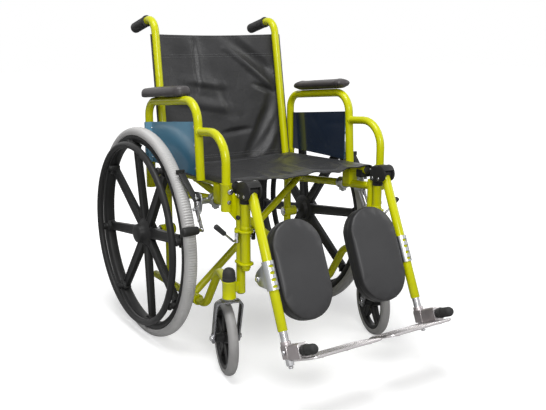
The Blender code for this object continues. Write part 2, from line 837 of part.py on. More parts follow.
def caster_wheel():
    rim_outer = CASTER_RADIUS - CASTER_TYRE_DEPTH - TOUCH_GAP
    rim_inner = rim_outer - CASTER_RIM_DEPTH
    rim = along_x(turned(ring_profile(rim_outer, rim_inner, CASTER_TYRE_WIDTH - 0.004), CASTER_STEPS, ring=True))
    hub = rod(0.015, (-CASTER_HUB_HALF, 0, 0), (CASTER_HUB_HALF, 0, 0))
    spokes = [
        spoke(angle, 0.006, rim_inner + 0.005, 0.014, 0.010, 0.5)
        for angle in spoke_angles(CASTER_SPOKES, pi / 2)
    ]
    bore = rod(PIVOT_BOLT_RADIUS + ROUND_GAP, (-0.05, 0, 0), (0.05, 0, 0))
    return moved(combine(rim, [hub] + spokes, [bore]), y=CASTER_TRAIL, z=CASTER_RADIUS)


def caster_tyre():
    profile = ring_profile(CASTER_RADIUS, CASTER_RADIUS - CASTER_TYRE_DEPTH, CASTER_TYRE_WIDTH, 0.007)
    return moved(along_x(turned(profile, CASTER_STEPS, ring=True)), y=CASTER_TRAIL, z=CASTER_RADIUS)


def caster_axle():
    """The bolt across the fork, with a head and a nut."""
    reach = FORK_BOSS_HALF + TOUCH_GAP
    centre = (CASTER_TRAIL, CASTER_RADIUS)
    shaft = rod(PIVOT_BOLT_RADIUS, (-reach - 0.006, *centre), (reach + 0.006, *centre), 12)
    heads = [
        rod(0.0075, (side * reach, *centre), (side * (reach + 0.005), *centre), 6) for side in (-1, 1)
    ]
    return combine(shaft, heads)


def caster_cap():
    """The domed cover on the caster housing."""
    bottom = HOUSING_TOP + TOUCH_GAP
    dome = arc((0, bottom + 0.012), 1, 90, 0, 3)
    spring = bottom + 0.012
    profile = [(x * HOUSING_RADIUS, spring + (y - spring) * (CAP_TOP - spring)) for x, y in dome]
    profile += [(HOUSING_RADIUS - 0.001, bottom + 0.008), (HOUSING_RADIUS, bottom), (0, bottom)]
    return turned(profile, 12)


def add_casters():
    for name, side in (("left", 1), ("right", -1)):
        swivel = Matrix.Translation((side * CASTER_HALF, CASTER_Y, 0)) @ Matrix.Rotation(CASTER_TURN, 4, "Z")
        swivel_axis = swivel @ Vector((0, 0, FORK_TOP))
        wheel_centre = swivel @ Vector((0, CASTER_TRAIL, CASTER_RADIUS))
        add_part(name + "_caster_fork", placed(fork(), swivel), PLATING, swivel_axis)
        add_part(name + "_caster_axle", placed(caster_axle(), swivel), PLATING, swivel_axis)
        add_part(name + "_caster_wheel", placed(caster_wheel(), swivel), PLASTIC, wheel_centre)
        add_part(name + "_caster_tyre", placed(caster_tyre(), swivel), TYRE, wheel_centre)
    add_pair("caster_cap", moved(caster_cap(), CASTER_HALF, CASTER_Y), PLASTIC)


# Cross brace and upholstery


def brace(y_shift):
    """One half of the scissor, from a sleeve on the right lower rail up to the left seat rail."""
    foot = Vector((-BRACE_FOOT.x, BRACE_Y + y_shift, BRACE_FOOT.z))
    head = Vector((BRACE_HEAD.x, BRACE_Y + y_shift, seat_rail_z(BRACE_Y + y_shift)))
    way = (head - foot).normalized()
    bar = rod(BRACE_RADIUS, foot + way * (TUBE_RADIUS + 0.002), head, 12)
    sleeve = rod(
        TUBE_RADIUS + 0.004, (foot.x, BRACE_Y - 0.030, foot.z), (foot.x, BRACE_Y + 0.030, foot.z), 20
    )
    rail = rod(
        TUBE_RADIUS,
        frame_point(SEAT_RAIL_FRONT, seat_rail_z(SEAT_RAIL_FRONT)),
        frame_point(SEAT_RAIL_REAR, seat_rail_z(SEAT_RAIL_REAR)),
        12,
    )
    sleeve_bore = rod(
        TUBE_RADIUS + ROUND_GAP, (foot.x, BRACE_Y - 0.06, foot.z), (foot.x, BRACE_Y + 0.06, foot.z), 24
    )
    middle_z = (BRACE_FOOT.z + BRACE_HEAD.z) / 2
    bolt_hole = rod(PIVOT_BOLT_RADIUS + ROUND_GAP, (0, BRACE_Y - 0.06, middle_z), (0, BRACE_Y + 0.06, middle_z))
    return combine(bar, [rail, sleeve], [sleeve_bore, bolt_hole])


def brace_bolt():
    """The bolt through the middle of both braces, with its spacer between them."""
    middle_z = (BRACE_FOOT.z + BRACE_HEAD.z) / 2
    reach = BRACE_SPREAD + BRACE_RADIUS + TOUCH_GAP
    shaft = rod(PIVOT_BOLT_RADIUS, (0, BRACE_Y - reach - 0.007, middle_z), (0, BRACE_Y + reach + 0.007, middle_z), 8)
    heads = [
        rod(0.009, (0, BRACE_Y + side * reach, middle_z), (0, BRACE_Y + side * (reach + 0.006), middle_z), 6)
        for side in (-1, 1)
    ]
    gap = BRACE_SPREAD - BRACE_RADIUS - TOUCH_GAP
    spacer = rod(0.010, (0, BRACE_Y - gap, middle_z), (0, BRACE_Y + gap, middle_z), 10)
    return combine(shaft, heads + [spacer])


def seat_point(across, along):
    """A point under the seat sling: it wraps both rails, sags between them and hems down in front."""
    wrap = TUBE_RADIUS + 0.0012
    wrap_share = 3 / SLING_COLUMNS
    front = SEAT_RAIL_FRONT - 0.008
    rear = SEAT_RAIL_REAR + 0.008
    y = front + (rear - front) * along
    rail_z = seat_rail_z(y)
    side = 1 if across > 0.5 else -1
    share = min(across, 1 - across)
    if share < wrap_share:
        angle = radians(80) * share / wrap_share + radians(10)
        return Vector((side * (FRAME_HALF + wrap * cos(angle)), y, rail_z + wrap * sin(angle)))
    x_share = (share - wrap_share) / (0.5 - wrap_share)
    x = FRAME_HALF * (1 - x_share)
    sag = SEAT_SAG * sin(radians(90) * x_share)
    ripple = 0.003 * sin(5 * pi * across) * sin(pi * x_share) * (1 - along)
    hem = SEAT_HEM_DROP * max(0.0, 1 - along / 0.08) * min(1.0, max(0.0, 6 * x_share - 0.6))
    return Vector((side * x, y, rail_z + wrap - sag + ripple - hem))


def back_point(across, along):
    """A point of the back sling: it wraps round behind both canes and bellies between them."""
    wrap = TUBE_RADIUS + 0.0012
    wrap_share = 3 / SLING_COLUMNS
    z = BACK_BOTTOM + (BACK_TOP - BACK_BOTTOM) * along
    side = 1 if across > 0.5 else -1
    share = min(across, 1 - across)
    if share < wrap_share:
        angle = radians(100) * share / wrap_share - radians(10)
        return Vector((side * (cane_x(z) + wrap * cos(angle)), cane_y(z) + wrap * sin(angle), z))
    x_share = (share - wrap_share) / (0.5 - wrap_share)
    x = cane_x(z) * (1 - x_share)
    belly = BACK_BULGE * sin(radians(90) * x_share)
    fold = 0.003 * sin(7 * pi * across + 4 * along) * sin(pi * x_share)
    return Vector((side * x, cane_y(z) + wrap + belly + fold, z))


def add_folding_gear():
    first = brace(BRACE_SPREAD)
    second = mirrored(brace(-BRACE_SPREAD))
    centre = Vector((0, BRACE_Y, (BRACE_FOOT.z + BRACE_HEAD.z) / 2))
    right_foot = Vector((-BRACE_FOOT.x, BRACE_FOOT.y, BRACE_FOOT.z))
    add_part("cross_brace_a", first, PAINT, right_foot)
    add_part("cross_brace_b", second, PAINT, centre)
    add_part("brace_bolt", brace_bolt(), PLATING, centre)
    add_part("seat_sling", shell(SLING_COLUMNS, 8, seat_point, SLING_THICK), VINYL)
    add_part("back_sling", shell(SLING_COLUMNS, 7, back_point, -SLING_THICK), VINYL)


# Arms, which lift out of their sockets


def arm_point(y, z):
    return (ARM_HALF, y, z)


def arm_top_z(y):
    """Height of the arm's top tube, which climbs towards the front."""
    return ARM_TOP_Z - y * tan(ARM_TILT)


def arm_leg_y(z):
    """Where the arm's leaning front leg is at a height."""
    top = arm_top_z(ARM_BEND_Y)
    return ARM_LEG_Y + (ARM_BEND_Y - ARM_LEG_Y) * (z - ARM_LEG_BOTTOM) / (top - ARM_LEG_BOTTOM)


def arm_frame():
    hoop = tube([
        arm_point(ARM_REAR_Y, REAR_SOCKET[0] + SOCKET_DEPTH),
        arm_point(ARM_REAR_Y, arm_top_z(ARM_REAR_Y)),
        arm_point(ARM_BEND_Y, arm_top_z(ARM_BEND_Y)),
        arm_point(ARM_LEG_Y, ARM_LEG_BOTTOM),
    ], (0.045, 0.055))
    desk_tube = tube([
        arm_point(arm_leg_y(DESK_TUBE_Z) + 0.008, DESK_TUBE_Z),
        arm_point(ARM_FRONT_Y, DESK_CORNER_Z),
        arm_point(ARM_FRONT_Y, FRONT_SOCKET[0] + SOCKET_DEPTH),
    ], (0.070,), TUBE_RADIUS - 0.0005)
    return combine(hoop, [desk_tube])


def arm_pad(middle_y):
    """A flat-bottomed armrest that slopes more at its ends than along its sides."""
    layers = [
        (0.002, 0),
        (0, 0.003),
        (0.0005, 0.011),
        (0.003, 0.018),
        (0.009, 0.0235),
        (0.017, PAD_THICK),
    ]
    pad = padded_form(PAD_WIDTH / 2, PAD_LENGTH / 2, 0.022, layers, 4, 1.8)
    base = arm_top_z(middle_y) + (TUBE_RADIUS + TOUCH_GAP) / cos(ARM_TILT)
    return placed(pad, Matrix.Translation((ARM_HALF, middle_y, base)) @ Matrix.Rotation(-ARM_TILT, 4, "X"))


def side_panel():
    """A sheet that wraps the outside of the rear arm tube, butts against the front one and slopes on top."""
    wrap = TUBE_RADIUS + ROUND_GAP
    inner = arc((ARM_REAR_Y, 0), wrap, 20, 150, 6)
    outer = arc((ARM_REAR_Y, 0), wrap + PANEL_THICK, 20, 140, 6)
    half = PANEL_THICK / 2
    foremost = ARM_LEG_Y
    outline = inner + [(ARM_REAR_Y - wrap - 0.006, -half), (foremost, -half), (foremost, half)]
    outline += [(ARM_REAR_Y - wrap - 0.006, half)] + outer[::-1]
    highest = PANEL_TOP - PANEL_RISE * foremost + 0.01
    sheet = plate(outline, highest - PANEL_BOTTOM)
    turn = Matrix(((0, 1, 0, ARM_HALF), (1, 0, 0, 0), (0, 0, 1, (highest + PANEL_BOTTOM) / 2), (0, 0, 0, 1)))
    sheet.transform(turn)
    sheet.flip_normals()
    clear = TUBE_RADIUS + TOUCH_GAP + 0.001
    ends = (PANEL_BOTTOM - 0.1, highest + 0.1)
    before_leg = [(arm_leg_y(z) + clear, z) for z in ends] + [(foremost - 0.1, z) for z in reversed(ends)]
    above = [(y, PANEL_TOP - PANEL_RISE * y) for y in (foremost - 0.1, ARM_REAR_Y + 0.1)]
    above += [(ARM_REAR_Y + 0.1, highest + 0.1), (foremost - 0.1, highest + 0.1)]
    cuts = [moved(facing_x(plate(outline, 0.1)), x=ARM_HALF) for outline in (before_leg, above)]
    return combine(sheet, cut=cuts)


def add_arms():
    add_pair("arm_frame", arm_frame(), PAINT)
    add_part("left_arm_pad", arm_pad(LEFT_PAD_Y), VINYL)
    add_part("right_arm_pad", mirrored(arm_pad(RIGHT_PAD_Y)), VINYL)
    add_pair("side_panel", side_panel(), PANEL)


# Brakes


def brake_base():
    """The clamp round the upper rail, with the plate that carries the lever and the shoe."""
    rail = [
        frame_point(BRAKE_Y + CLAMP_LENGTH / 2, upper_rail_z(BRAKE_Y + CLAMP_LENGTH / 2)),
        frame_point(BRAKE_Y - CLAMP_LENGTH / 2, upper_rail_z(BRAKE_Y - CLAMP_LENGTH / 2)),
    ]
    clamp = rod(CLAMP_RADIUS, *rail, 14)
    plate_outline = [
        (LEVER_PIVOT[0] + 0.012, LEVER_PIVOT[1] - 0.010),
        (LEVER_PIVOT[0] - 0.012, LEVER_PIVOT[1] - 0.010),
        (SHOE_PIVOT[0] - 0.010, SHOE_PIVOT[1]),
        (SHOE_PIVOT[0] - 0.006, SHOE_PIVOT[1] + 0.010),
        (SHOE_PIVOT[0] + 0.010, SHOE_PIVOT[1] + 0.008),
    ]
    side_plate = moved(facing_x(plate(plate_outline, 0.003)), x=BRAKE_PLATE_X)
    arm_z = upper_rail_z(BRAKE_Y)
    arm = box((FRAME_HALF, BRAKE_Y - 0.010, arm_z - 0.004), (BRAKE_PLATE_X, BRAKE_Y + 0.010, arm_z + 0.002))
    pins = [
        rod(0.0035, (BRAKE_PLATE_X - 0.001, y, z), (BRAKE_PLATE_X + 0.012, y, z), 10)
        for y, z in (LEVER_PIVOT, SHOE_PIVOT)
    ]
    bore = rod(
        TUBE_RADIUS + TOUCH_GAP,
        frame_point(BRAKE_Y + 0.1, upper_rail_z(BRAKE_Y + 0.1)),
        frame_point(BRAKE_Y - 0.1, upper_rail_z(BRAKE_Y - 0.1)),
        16,
    )
    return combine(clamp, [arm, side_plate] + pins, [bore])


def link_plate(first, second, half_width, thick, x, hole_at=None):
    """A flat link with round ends between two points (y, z), with a hole for its pin."""
    way = atan2(second[1] - first[1], second[0] - first[0]) * 180 / pi
    outline = arc(first, half_width, way + 90, way + 270, 5) + arc(second, half_width, way - 90, way + 90, 5)
    link = moved(facing_x(plate(outline, thick)), x=x)
    if hole_at is None:
        return link
    hole = rod(0.0035 + ROUND_GAP, (x - 0.01, *hole_at), (x + 0.01, *hole_at), 12)
    return combine(link, cut=[hole])


def brake_lever():
    """The lever's bar, with the rod that carries its moulded grip."""
    x = BRAKE_PLATE_X + 0.0015 + TOUCH_GAP + 0.002
    start, end = BRAKE_GRIP
    bar = link_plate(LEVER_PIVOT, GRIP_CENTRE, 0.007, 0.004, x, LEVER_PIVOT)
    handle = rod(0.005, (x, *GRIP_CENTRE), (end - 0.003, *GRIP_CENTRE), 10)
    profile = [
        (0, end),
        (BRAKE_GRIP_RADIUS - 0.002, end),
        (BRAKE_GRIP_RADIUS, end - 0.003),
        (BRAKE_GRIP_RADIUS, start + 0.003),
        (BRAKE_GRIP_RADIUS - 0.002, start),
        (0, start),
    ]
    grip = moved(along_x(turned(profile, 14)), 0, *GRIP_CENTRE)
    return combine(bar, [handle, grip])


def brake_shoe():
    """The flat bar whose upper end presses on the tread."""
    x = BRAKE_PLATE_X + 0.0015 + TOUCH_GAP + 0.002
    bar = link_plate(SHOE_PIVOT, SHOE_TIP, 0.0075, 0.004, x, SHOE_PIVOT)
    pad_low = (x, SHOE_TIP[0] - 0.006, SHOE_TIP[1] - 0.006)
    pad_high = (x + 0.040, SHOE_TIP[0], SHOE_TIP[1] + 0.006)
    return combine(bar, [box(pad_low, pad_high, 0.0015)])


def add_brakes():
    add_pair("brake_base", brake_base(), PLATING)
    add_pair("brake_lever", brake_lever(), PLASTIC, (BRAKE_PLATE_X, *LEVER_PIVOT))
    add_pair("brake_shoe", brake_shoe(), PLASTIC, (BRAKE_PLATE_X, *SHOE_PIVOT))


# Legrests. The leg's own parts are modelled straight down from its pivot and then turned forward


def legrest_hanger():
    """The upright that drops through the front post's lugs, with the collar that carries it."""
    post = rod(HANGER_RADIUS, frame_point(HANGER_Y, HANGER_BOTTOM), frame_point(HANGER_Y, HANGER_TOP))
    seat = LUG_HEIGHTS[1] + LUG_THICK / 2 + TOUCH_GAP
    collar = rod(HANGER_RADIUS + 0.0008, frame_point(HANGER_Y, seat), frame_point(HANGER_Y, seat + 0.010))
    foot = rod(
        HANGER_RADIUS - 0.002, frame_point(HANGER_Y, HANGER_BOTTOM - 0.005), frame_point(HANGER_Y, HANGER_BOTTOM)
    )
    return combine(post, [collar, foot])


def pivot_cover():
    """The moulded knuckle on the hanger, with two cheeks that carry the leg's pivot pin."""
    outline = [(HANGER_Y + HANGER_RADIUS + 0.002, PIVOT_Z - COVER_RADIUS)]
    outline += [(y, z) for y, z in arc((PIVOT_Y, PIVOT_Z), COVER_RADIUS, 270, 90, 8)]
    outline += [(HANGER_Y + 0.004, PIVOT_Z + COVER_RADIUS), (HANGER_Y + HANGER_RADIUS + 0.002, PIVOT_Z + 0.014)]
    body = moved(facing_x(plate(outline, 2 * COVER_HALF)), x=FRAME_HALF)
    slot_back = HANGER_Y - HANGER_RADIUS - ROUND_GAP - 0.002
    slot = box(
        (FRAME_HALF - SLOT_HALF, PIVOT_Y - 0.05, PIVOT_Z - 0.05),
        (FRAME_HALF + SLOT_HALF, slot_back, PIVOT_Z + LEG_RADIUS + 0.0013),
    )
    bore = rod(
        HANGER_RADIUS + TOUCH_GAP,
        frame_point(HANGER_Y, PIVOT_Z - 0.05),
        frame_point(HANGER_Y, HANGER_TOP + TOUCH_GAP),
        16,
    )
    shelled = combine(body, cut=[slot, bore])
    pin = rod(
        PIVOT_BOLT_RADIUS,
        (FRAME_HALF - COVER_HALF + 0.001, PIVOT_Y, PIVOT_Z),
        (FRAME_HALF + COVER_HALF - 0.001, PIVOT_Y, PIVOT_Z),
        12,
    )
    return combine(shelled, [pin])


def leg_tube():
    """The painted tube, with a round head on the pivot pin and a bore for the sliding tube."""
    shaft = rod(LEG_RADIUS, (FRAME_HALF, 0, 0), (FRAME_HALF, 0, -LEG_LENGTH))
    head_half = SLOT_HALF - ROUND_GAP
    head = rod(LEG_RADIUS + 0.0004, (FRAME_HALF - head_half, 0, 0), (FRAME_HALF + head_half, 0, 0))
    pin_hole = rod(
        PIVOT_BOLT_RADIUS + ROUND_GAP, (FRAME_HALF - 0.03, 0, 0), (FRAME_HALF + 0.03, 0, 0)
    )
    bore = rod(
        FOOT_TUBE_RADIUS + ROUND_GAP, (FRAME_HALF, 0, -FOOT_TUBE_TOP + 0.035), (FRAME_HALF, 0, -LEG_LENGTH - 0.02), 20
    )
    return placed(combine(combine(shaft, cut=[bore]), [head], [pin_hole]), LEG_PLACE)


def along_spindle(mesh):
    """Turns a shape made about Z so that it lies along the footplate's hinge, with its far end forward."""
    return placed(mesh, Matrix.Translation((FRAME_HALF, 0, -HINGE_DROP)) @ Matrix.Rotation(radians(90), 4, "X"))


def foot_tube():
    """The plated tube that slides in the leg, with the block and forward spindle that carry the footplate."""
    slider = rod(FOOT_TUBE_RADIUS, (FRAME_HALF, 0, -FOOT_TUBE_TOP), (FRAME_HALF, 0, -FOOT_TUBE_END), 14)
    tip = rod(
        FOOT_TUBE_RADIUS - 0.0004,
        (FRAME_HALF, 0, -FOOT_TUBE_END + 0.003),
        (FRAME_HALF, 0, -FOOT_TUBE_END - 0.006),
        14,
        FOOT_TUBE_RADIUS / 2,
    )
    block = box(
        (FRAME_HALF - BLOCK_HALF, -BLOCK_FRONT, -HINGE_DROP - BLOCK_HEIGHT / 2),
        (FRAME_HALF + BLOCK_HALF, BLOCK_HALF, -HINGE_DROP + BLOCK_HEIGHT / 2),
        0.003,
    )
    spindle = along_spindle(rod(SPINDLE_RADIUS, (0, 0, 0), (0, 0, BUMPER_END - 0.004), 12))
    return placed(combine(slider, [tip, block, spindle]), LEG_PLACE)


def footplate():
    """The tread plate under its hinge housing, with a rim under its front and rear edges."""
    top = -HINGE_DROP - PLATE_OFFSET
    heel = -BLOCK_FRONT - TOUCH_GAP
    outer = FRAME_HALF + HOUSING_HALF
    corner = 0.020
    outline = [
        (outer, heel),
        (PLATE_INNER_X + corner / 2, heel),
        (PLATE_INNER_X, heel - corner / 2),
        (PLATE_INNER_X, corner - PLATE_FRONT),
        (PLATE_INNER_X + corner, -PLATE_FRONT),
        (outer - corner / 2, -PLATE_FRONT),
        (outer, corner / 2 - PLATE_FRONT),
    ]
    tread = moved(plate(outline, PLATE_THICK), z=top - PLATE_THICK / 2)
    lips = [
        box(
            (PLATE_INNER_X + corner, min(y, y + inward), top - PLATE_THICK - PLATE_LIP),
            (outer - corner, max(y, y + inward), top - 0.001),
        )
        for y, inward in ((0.0004 - PLATE_FRONT, 0.003), (heel - 0.0004, -0.003))
    ]
    housing = box(
        (FRAME_HALF - HOUSING_HALF, -HOUSING_END, top - 0.002),
        (outer - 0.0005, heel - 0.0003, -HINGE_DROP + PLATE_OFFSET),
        0.0035,
    )
    flange = along_spindle(rod(FLANGE_RADIUS, (0, 0, HOUSING_END - 0.002), (0, 0, BUMPER_START - TOUCH_GAP), 16))
    bore = along_spindle(rod(SPINDLE_RADIUS + ROUND_GAP, (0, 0, 0), (0, 0, BUMPER_END)))
    return placed(combine(tread, lips + [housing, flange], [bore]), LEG_PLACE)


def footplate_bumper():
    """The ribbed rubber sleeve on the front end of the hinge spindle."""
    bore = SPINDLE_RADIUS + TOUCH_GAP
    floor = BUMPER_END - 0.0035
    profile = [(0, BUMPER_END), (BUMPER_RADIUS, BUMPER_END)]
    ribs = 2
    pitch = (BUMPER_END - BUMPER_START) / ribs
    for rib in range(ribs):
        top = BUMPER_END - rib * pitch
        profile.append((BUMPER_RADIUS, top - 0.6 * pitch))
        profile.append((BUMPER_RADIUS - 0.0015, top - 0.75 * pitch))
        if rib < ribs - 1:
            profile.append((BUMPER_RADIUS, top - pitch))
    profile += [(BUMPER_RADIUS - 0.0015, BUMPER_START), (bore, BUMPER_START), (bore, floor), (0, floor)]
    return placed(along_spindle(turned(profile, 10)), LEG_PLACE)


def calf_bracket():
    """The cast band round the leg tube, with the rearward web that carries the pad's bolt."""
    band = rod(LEG_RADIUS + 0.003, (FRAME_HALF, 0, -BAND_TOP), (FRAME_HALF, 0, -BAND_BOTTOM), 14)
    outline = [
        (0.008, -BAND_TOP - 0.002),
        (CALF_BOLT_BACK + 0.002, -CALF_BOLT_DROP + 0.009),
        (CALF_BOLT_BACK + 0.008, -CALF_BOLT_DROP),
        (CALF_BOLT_BACK + 0.002, -CALF_BOLT_DROP - 0.009),
        (0.008, -BAND_BOTTOM + 0.002),
    ]
    web = moved(facing_x(plate(outline, 0.006)), x=FRAME_HALF)
    bolt_at = (CALF_BOLT_BACK, -CALF_BOLT_DROP)
    bolt = rod(PIVOT_BOLT_RADIUS, (FRAME_HALF - 0.010, *bolt_at), (FRAME_HALF + 0.004, *bolt_at), 12)
    head = rod(0.0065, (FRAME_HALF + 0.003, *bolt_at), (FRAME_HALF + 0.007, *bolt_at), 6)
    bore = rod(LEG_RADIUS + TOUCH_GAP, (FRAME_HALF, 0, -BAND_TOP + 0.02), (FRAME_HALF, 0, -BAND_BOTTOM - 0.02), 16)
    return placed(combine(band, [web, bolt, head], [bore]), LEG_PLACE)


def calf_arm():
    """The strap from the pad's bolt to the backing plate behind the pad."""
    back = CALF_FACE + CALF_THICK + TOUCH_GAP
    strap_x = FRAME_HALF - 0.003 - TOUCH_GAP - 0.002
    ear = moved(
        facing_x(plate(
            arc((CALF_BOLT_BACK, -CALF_BOLT_DROP), 0.009, -90, 90, 6)
            + [(back + 0.0005, -CALF_BOLT_DROP + 0.008), (back + 0.0005, -CALF_BOLT_DROP - 0.012)],
            0.004,
        )),
        x=strap_x,
    )
    strap = box(
        (CALF_MIDDLE_X - 0.045, back, -CALF_BOLT_DROP - 0.013), (strap_x + 0.002, back + 0.004, -CALF_BOLT_DROP + 0.007)
    )
    backing = box(
        (CALF_MIDDLE_X - 0.045, back, -CALF_DROP - 0.060), (CALF_MIDDLE_X + 0.045, back + 0.003, -CALF_DROP + 0.060)
    )
    hole = rod(
        PIVOT_BOLT_RADIUS + ROUND_GAP,
        (strap_x - 0.01, CALF_BOLT_BACK, -CALF_BOLT_DROP),
        (strap_x + 0.01, CALF_BOLT_BACK, -CALF_BOLT_DROP),
        16,
    )
    return placed(combine(backing, [strap, ear], [hole]), LEG_PLACE)


def calf_pad():
    layers = [
        (0.006, 0),
        (0.001, 0.003),
        (0, 0.014),
        (0.001, 0.029),
        (0.005, 0.037),
        (0.014, 0.0425),
        (0.032, 0.0452),
        (0.058, CALF_THICK),
    ]
    pad = padded_form(CALF_WIDTH / 2, CALF_LENGTH / 2, CALF_WIDTH / 2, layers, 5)
    facing = Matrix.Rotation(radians(90), 4, "X")
    place = Matrix.Translation((CALF_MIDDLE_X, CALF_FACE + CALF_THICK, -CALF_DROP))
    return placed(pad, LEG_PLACE @ place @ facing)


def release_lever():
    """The swing-away catch: a plated rod with a slim grip, hung on a pin beside the front post."""
    x, y = RELEASE_PIVOT
    hub = rod(0.006, (x, y, RELEASE_Z - 0.006), (x, y, LUG_HEIGHTS[1] - LUG_THICK / 2 - TOUCH_GAP), 12)
    elbow = Vector((x + 0.012, y - 0.004, RELEASE_Z))
    tip = Vector((x + 0.064, y - 0.006, RELEASE_Z + 0.046))
    rod_part = tube([(x, y, RELEASE_Z), elbow, tip], (0.008,), 0.003, 1, 2)
    way = (tip - elbow).normalized()
    grip = rod(0.0060, tip - way * 0.036, tip + way * 0.002, 8, 0.0068)
    hole = rod(0.0025 + ROUND_GAP, (x, y, RELEASE_Z - 0.02), (x, y, RELEASE_Z + 0.03), 12)
    return combine(hub, [rod_part, grip], [hole])


def add_legrests():
    hinge_axis = LEG_PLACE @ Vector((FRAME_HALF, 0, -HINGE_DROP))
    calf_axis = LEG_PLACE @ Vector((FRAME_HALF, CALF_BOLT_BACK, -CALF_BOLT_DROP))
    add_pair("legrest_hanger", legrest_hanger(), PAINT, SWING_AXIS)
    add_pair("pivot_cover", pivot_cover(), PLASTIC, SWING_AXIS)
    add_pair("leg_tube", leg_tube(), PAINT, LEG_PIVOT)
    add_pair("calf_bracket", calf_bracket(), CASTING, LEG_PIVOT)
    add_pair("foot_tube", foot_tube(), PLATING, LEG_PIVOT)
    add_pair("footplate", footplate(), CASTING, hinge_axis)
    add_pair("footplate_bumper", footplate_bumper(), RUBBER, hinge_axis)
    add_pair("calf_arm", calf_arm(), PLATING, calf_axis)
    add_pair("calf_pad", calf_pad(), VINYL, calf_axis)
    add_pair("release_lever", release_lever(), PLATING, (*RELEASE_PIVOT, RELEASE_Z))


add_side_frames()
add_rear_wheels()
add_casters()
add_folding_gear()
add_arms()
add_brakes()
add_legrests()
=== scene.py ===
from math import atan2, cos, pi, radians, sin, tan

import bpy
from mathutils import Matrix, Vector, noise


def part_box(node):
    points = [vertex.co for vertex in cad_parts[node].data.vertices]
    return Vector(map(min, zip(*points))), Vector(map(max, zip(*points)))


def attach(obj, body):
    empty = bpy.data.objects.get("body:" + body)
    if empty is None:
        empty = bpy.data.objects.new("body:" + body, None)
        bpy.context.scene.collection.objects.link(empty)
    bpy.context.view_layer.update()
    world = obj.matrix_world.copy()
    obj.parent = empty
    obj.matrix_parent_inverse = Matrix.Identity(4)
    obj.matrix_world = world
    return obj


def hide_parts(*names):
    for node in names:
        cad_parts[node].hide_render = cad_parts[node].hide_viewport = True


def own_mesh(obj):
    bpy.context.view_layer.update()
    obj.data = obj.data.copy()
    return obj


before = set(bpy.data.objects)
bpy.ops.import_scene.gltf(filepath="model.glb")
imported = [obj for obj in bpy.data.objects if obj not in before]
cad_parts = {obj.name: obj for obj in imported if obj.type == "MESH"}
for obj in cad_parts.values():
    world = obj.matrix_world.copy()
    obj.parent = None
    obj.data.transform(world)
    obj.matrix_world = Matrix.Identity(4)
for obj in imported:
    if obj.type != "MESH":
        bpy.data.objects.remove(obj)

# Blender may open with a cube, a lamp and a camera of its own, which have no place in the studio.
for name in ("Cube", "Light", "Camera"):
    if name in bpy.data.objects:
        bpy.data.objects.remove(bpy.data.objects[name])
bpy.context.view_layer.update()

# The chair is measured from its rear axle line, as its makers do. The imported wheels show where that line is.
# The camera stands where the photographer stood, ahead and to the right of the chair, at table height.
tyre_low, tyre_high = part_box("left_rear_tyre")
AXLE_LINE = (tyre_low.y + tyre_high.y) / 2


def at(x, y, z):
    """A point given from the middle plane, the rear axle line and the floor."""
    return Vector((x, y + AXLE_LINE, z))


lens = bpy.data.cameras.new("camera")
lens.sensor_fit = "HORIZONTAL"
lens.sensor_width = 36
lens.lens = 49.98
lens.clip_start = 0.05
camera = bpy.data.objects.new("camera", lens)
camera.location = at(-1.1515, -1.981, 0.8737)
camera.rotation_euler = (radians(90 - 12.877), radians(-0.149), radians(-33.395))
bpy.context.scene.collection.objects.link(camera)
bpy.context.scene.camera = camera


# The studio: a white paper floor under broad soft lamps. Paper has no gloss, and the shadow stays on it.
# To the camera it also glows a little, the more the farther out, so that it runs into the white behind.
def linear(code):
    """A colour written as sRGB hex, as linear red, green, blue and alpha."""
    values = [int(code[i:i + 2], 16) / 255 for i in (1, 3, 5)]
    return [v / 12.92 if v <= 0.04045 else ((v + 0.055) / 1.055) ** 2.4 for v in values] + [1]


def add_node(tree, kind, inputs, feeds=None, **settings):
    """Adds a node with its settings. An input is a value, or the socket that feeds it."""
    node = tree.nodes.new("ShaderNode" + kind)
    for name, value in settings.items():
        setattr(node, name, value)
    for name, value in inputs.items():
        if isinstance(value, bpy.types.NodeSocket):
            tree.links.new(value, node.inputs[name])
        else:
            node.inputs[name].default_value = value
    if feeds:
        tree.links.new(node.outputs[2 if kind == "Mix" else 0], feeds)
    return node


bpy.ops.object.select_all(action="DESELECT")
bpy.ops.mesh.primitive_plane_add(size=30, location=(0, 0, 0))
floor_sheet = bpy.context.active_object
floor_sheet.name = "paper_floor"
paper = bpy.data.materials.new("white_paper")
paper.use_nodes = True
paper.node_tree.nodes.clear()
path = add_node(paper.node_tree, "LightPath", {})
spot = add_node(paper.node_tree, "TexCoord", {})
away = add_node(paper.node_tree, "VectorMath", {0: spot.outputs["Object"]}, operation="LENGTH")
level = add_node(
    paper.node_tree, "MapRange",
    {"Value": away.outputs["Value"], "From Min": 0.5, "From Max": 1.5, "To Min": 0.56, "To Max": 1.0},
)
matt = add_node(paper.node_tree, "BsdfDiffuse", {"Color": (0.55, 0.55, 0.55, 1)}).outputs[0]
glow = add_node(paper.node_tree, "Emission", {"Color": (1, 1, 1, 1), "Strength": level.outputs[0]})
lit = add_node(paper.node_tree, "AddShader", {0: matt, 1: glow.outputs[0]})
both = add_node(
    paper.node_tree, "MixShader", {0: path.outputs["Is Camera Ray"], 1: matt, 2: lit.outputs[0]}
)
add_node(paper.node_tree, "OutputMaterial", {"Surface": both.outputs[0]})
floor_sheet.data.materials.append(paper)

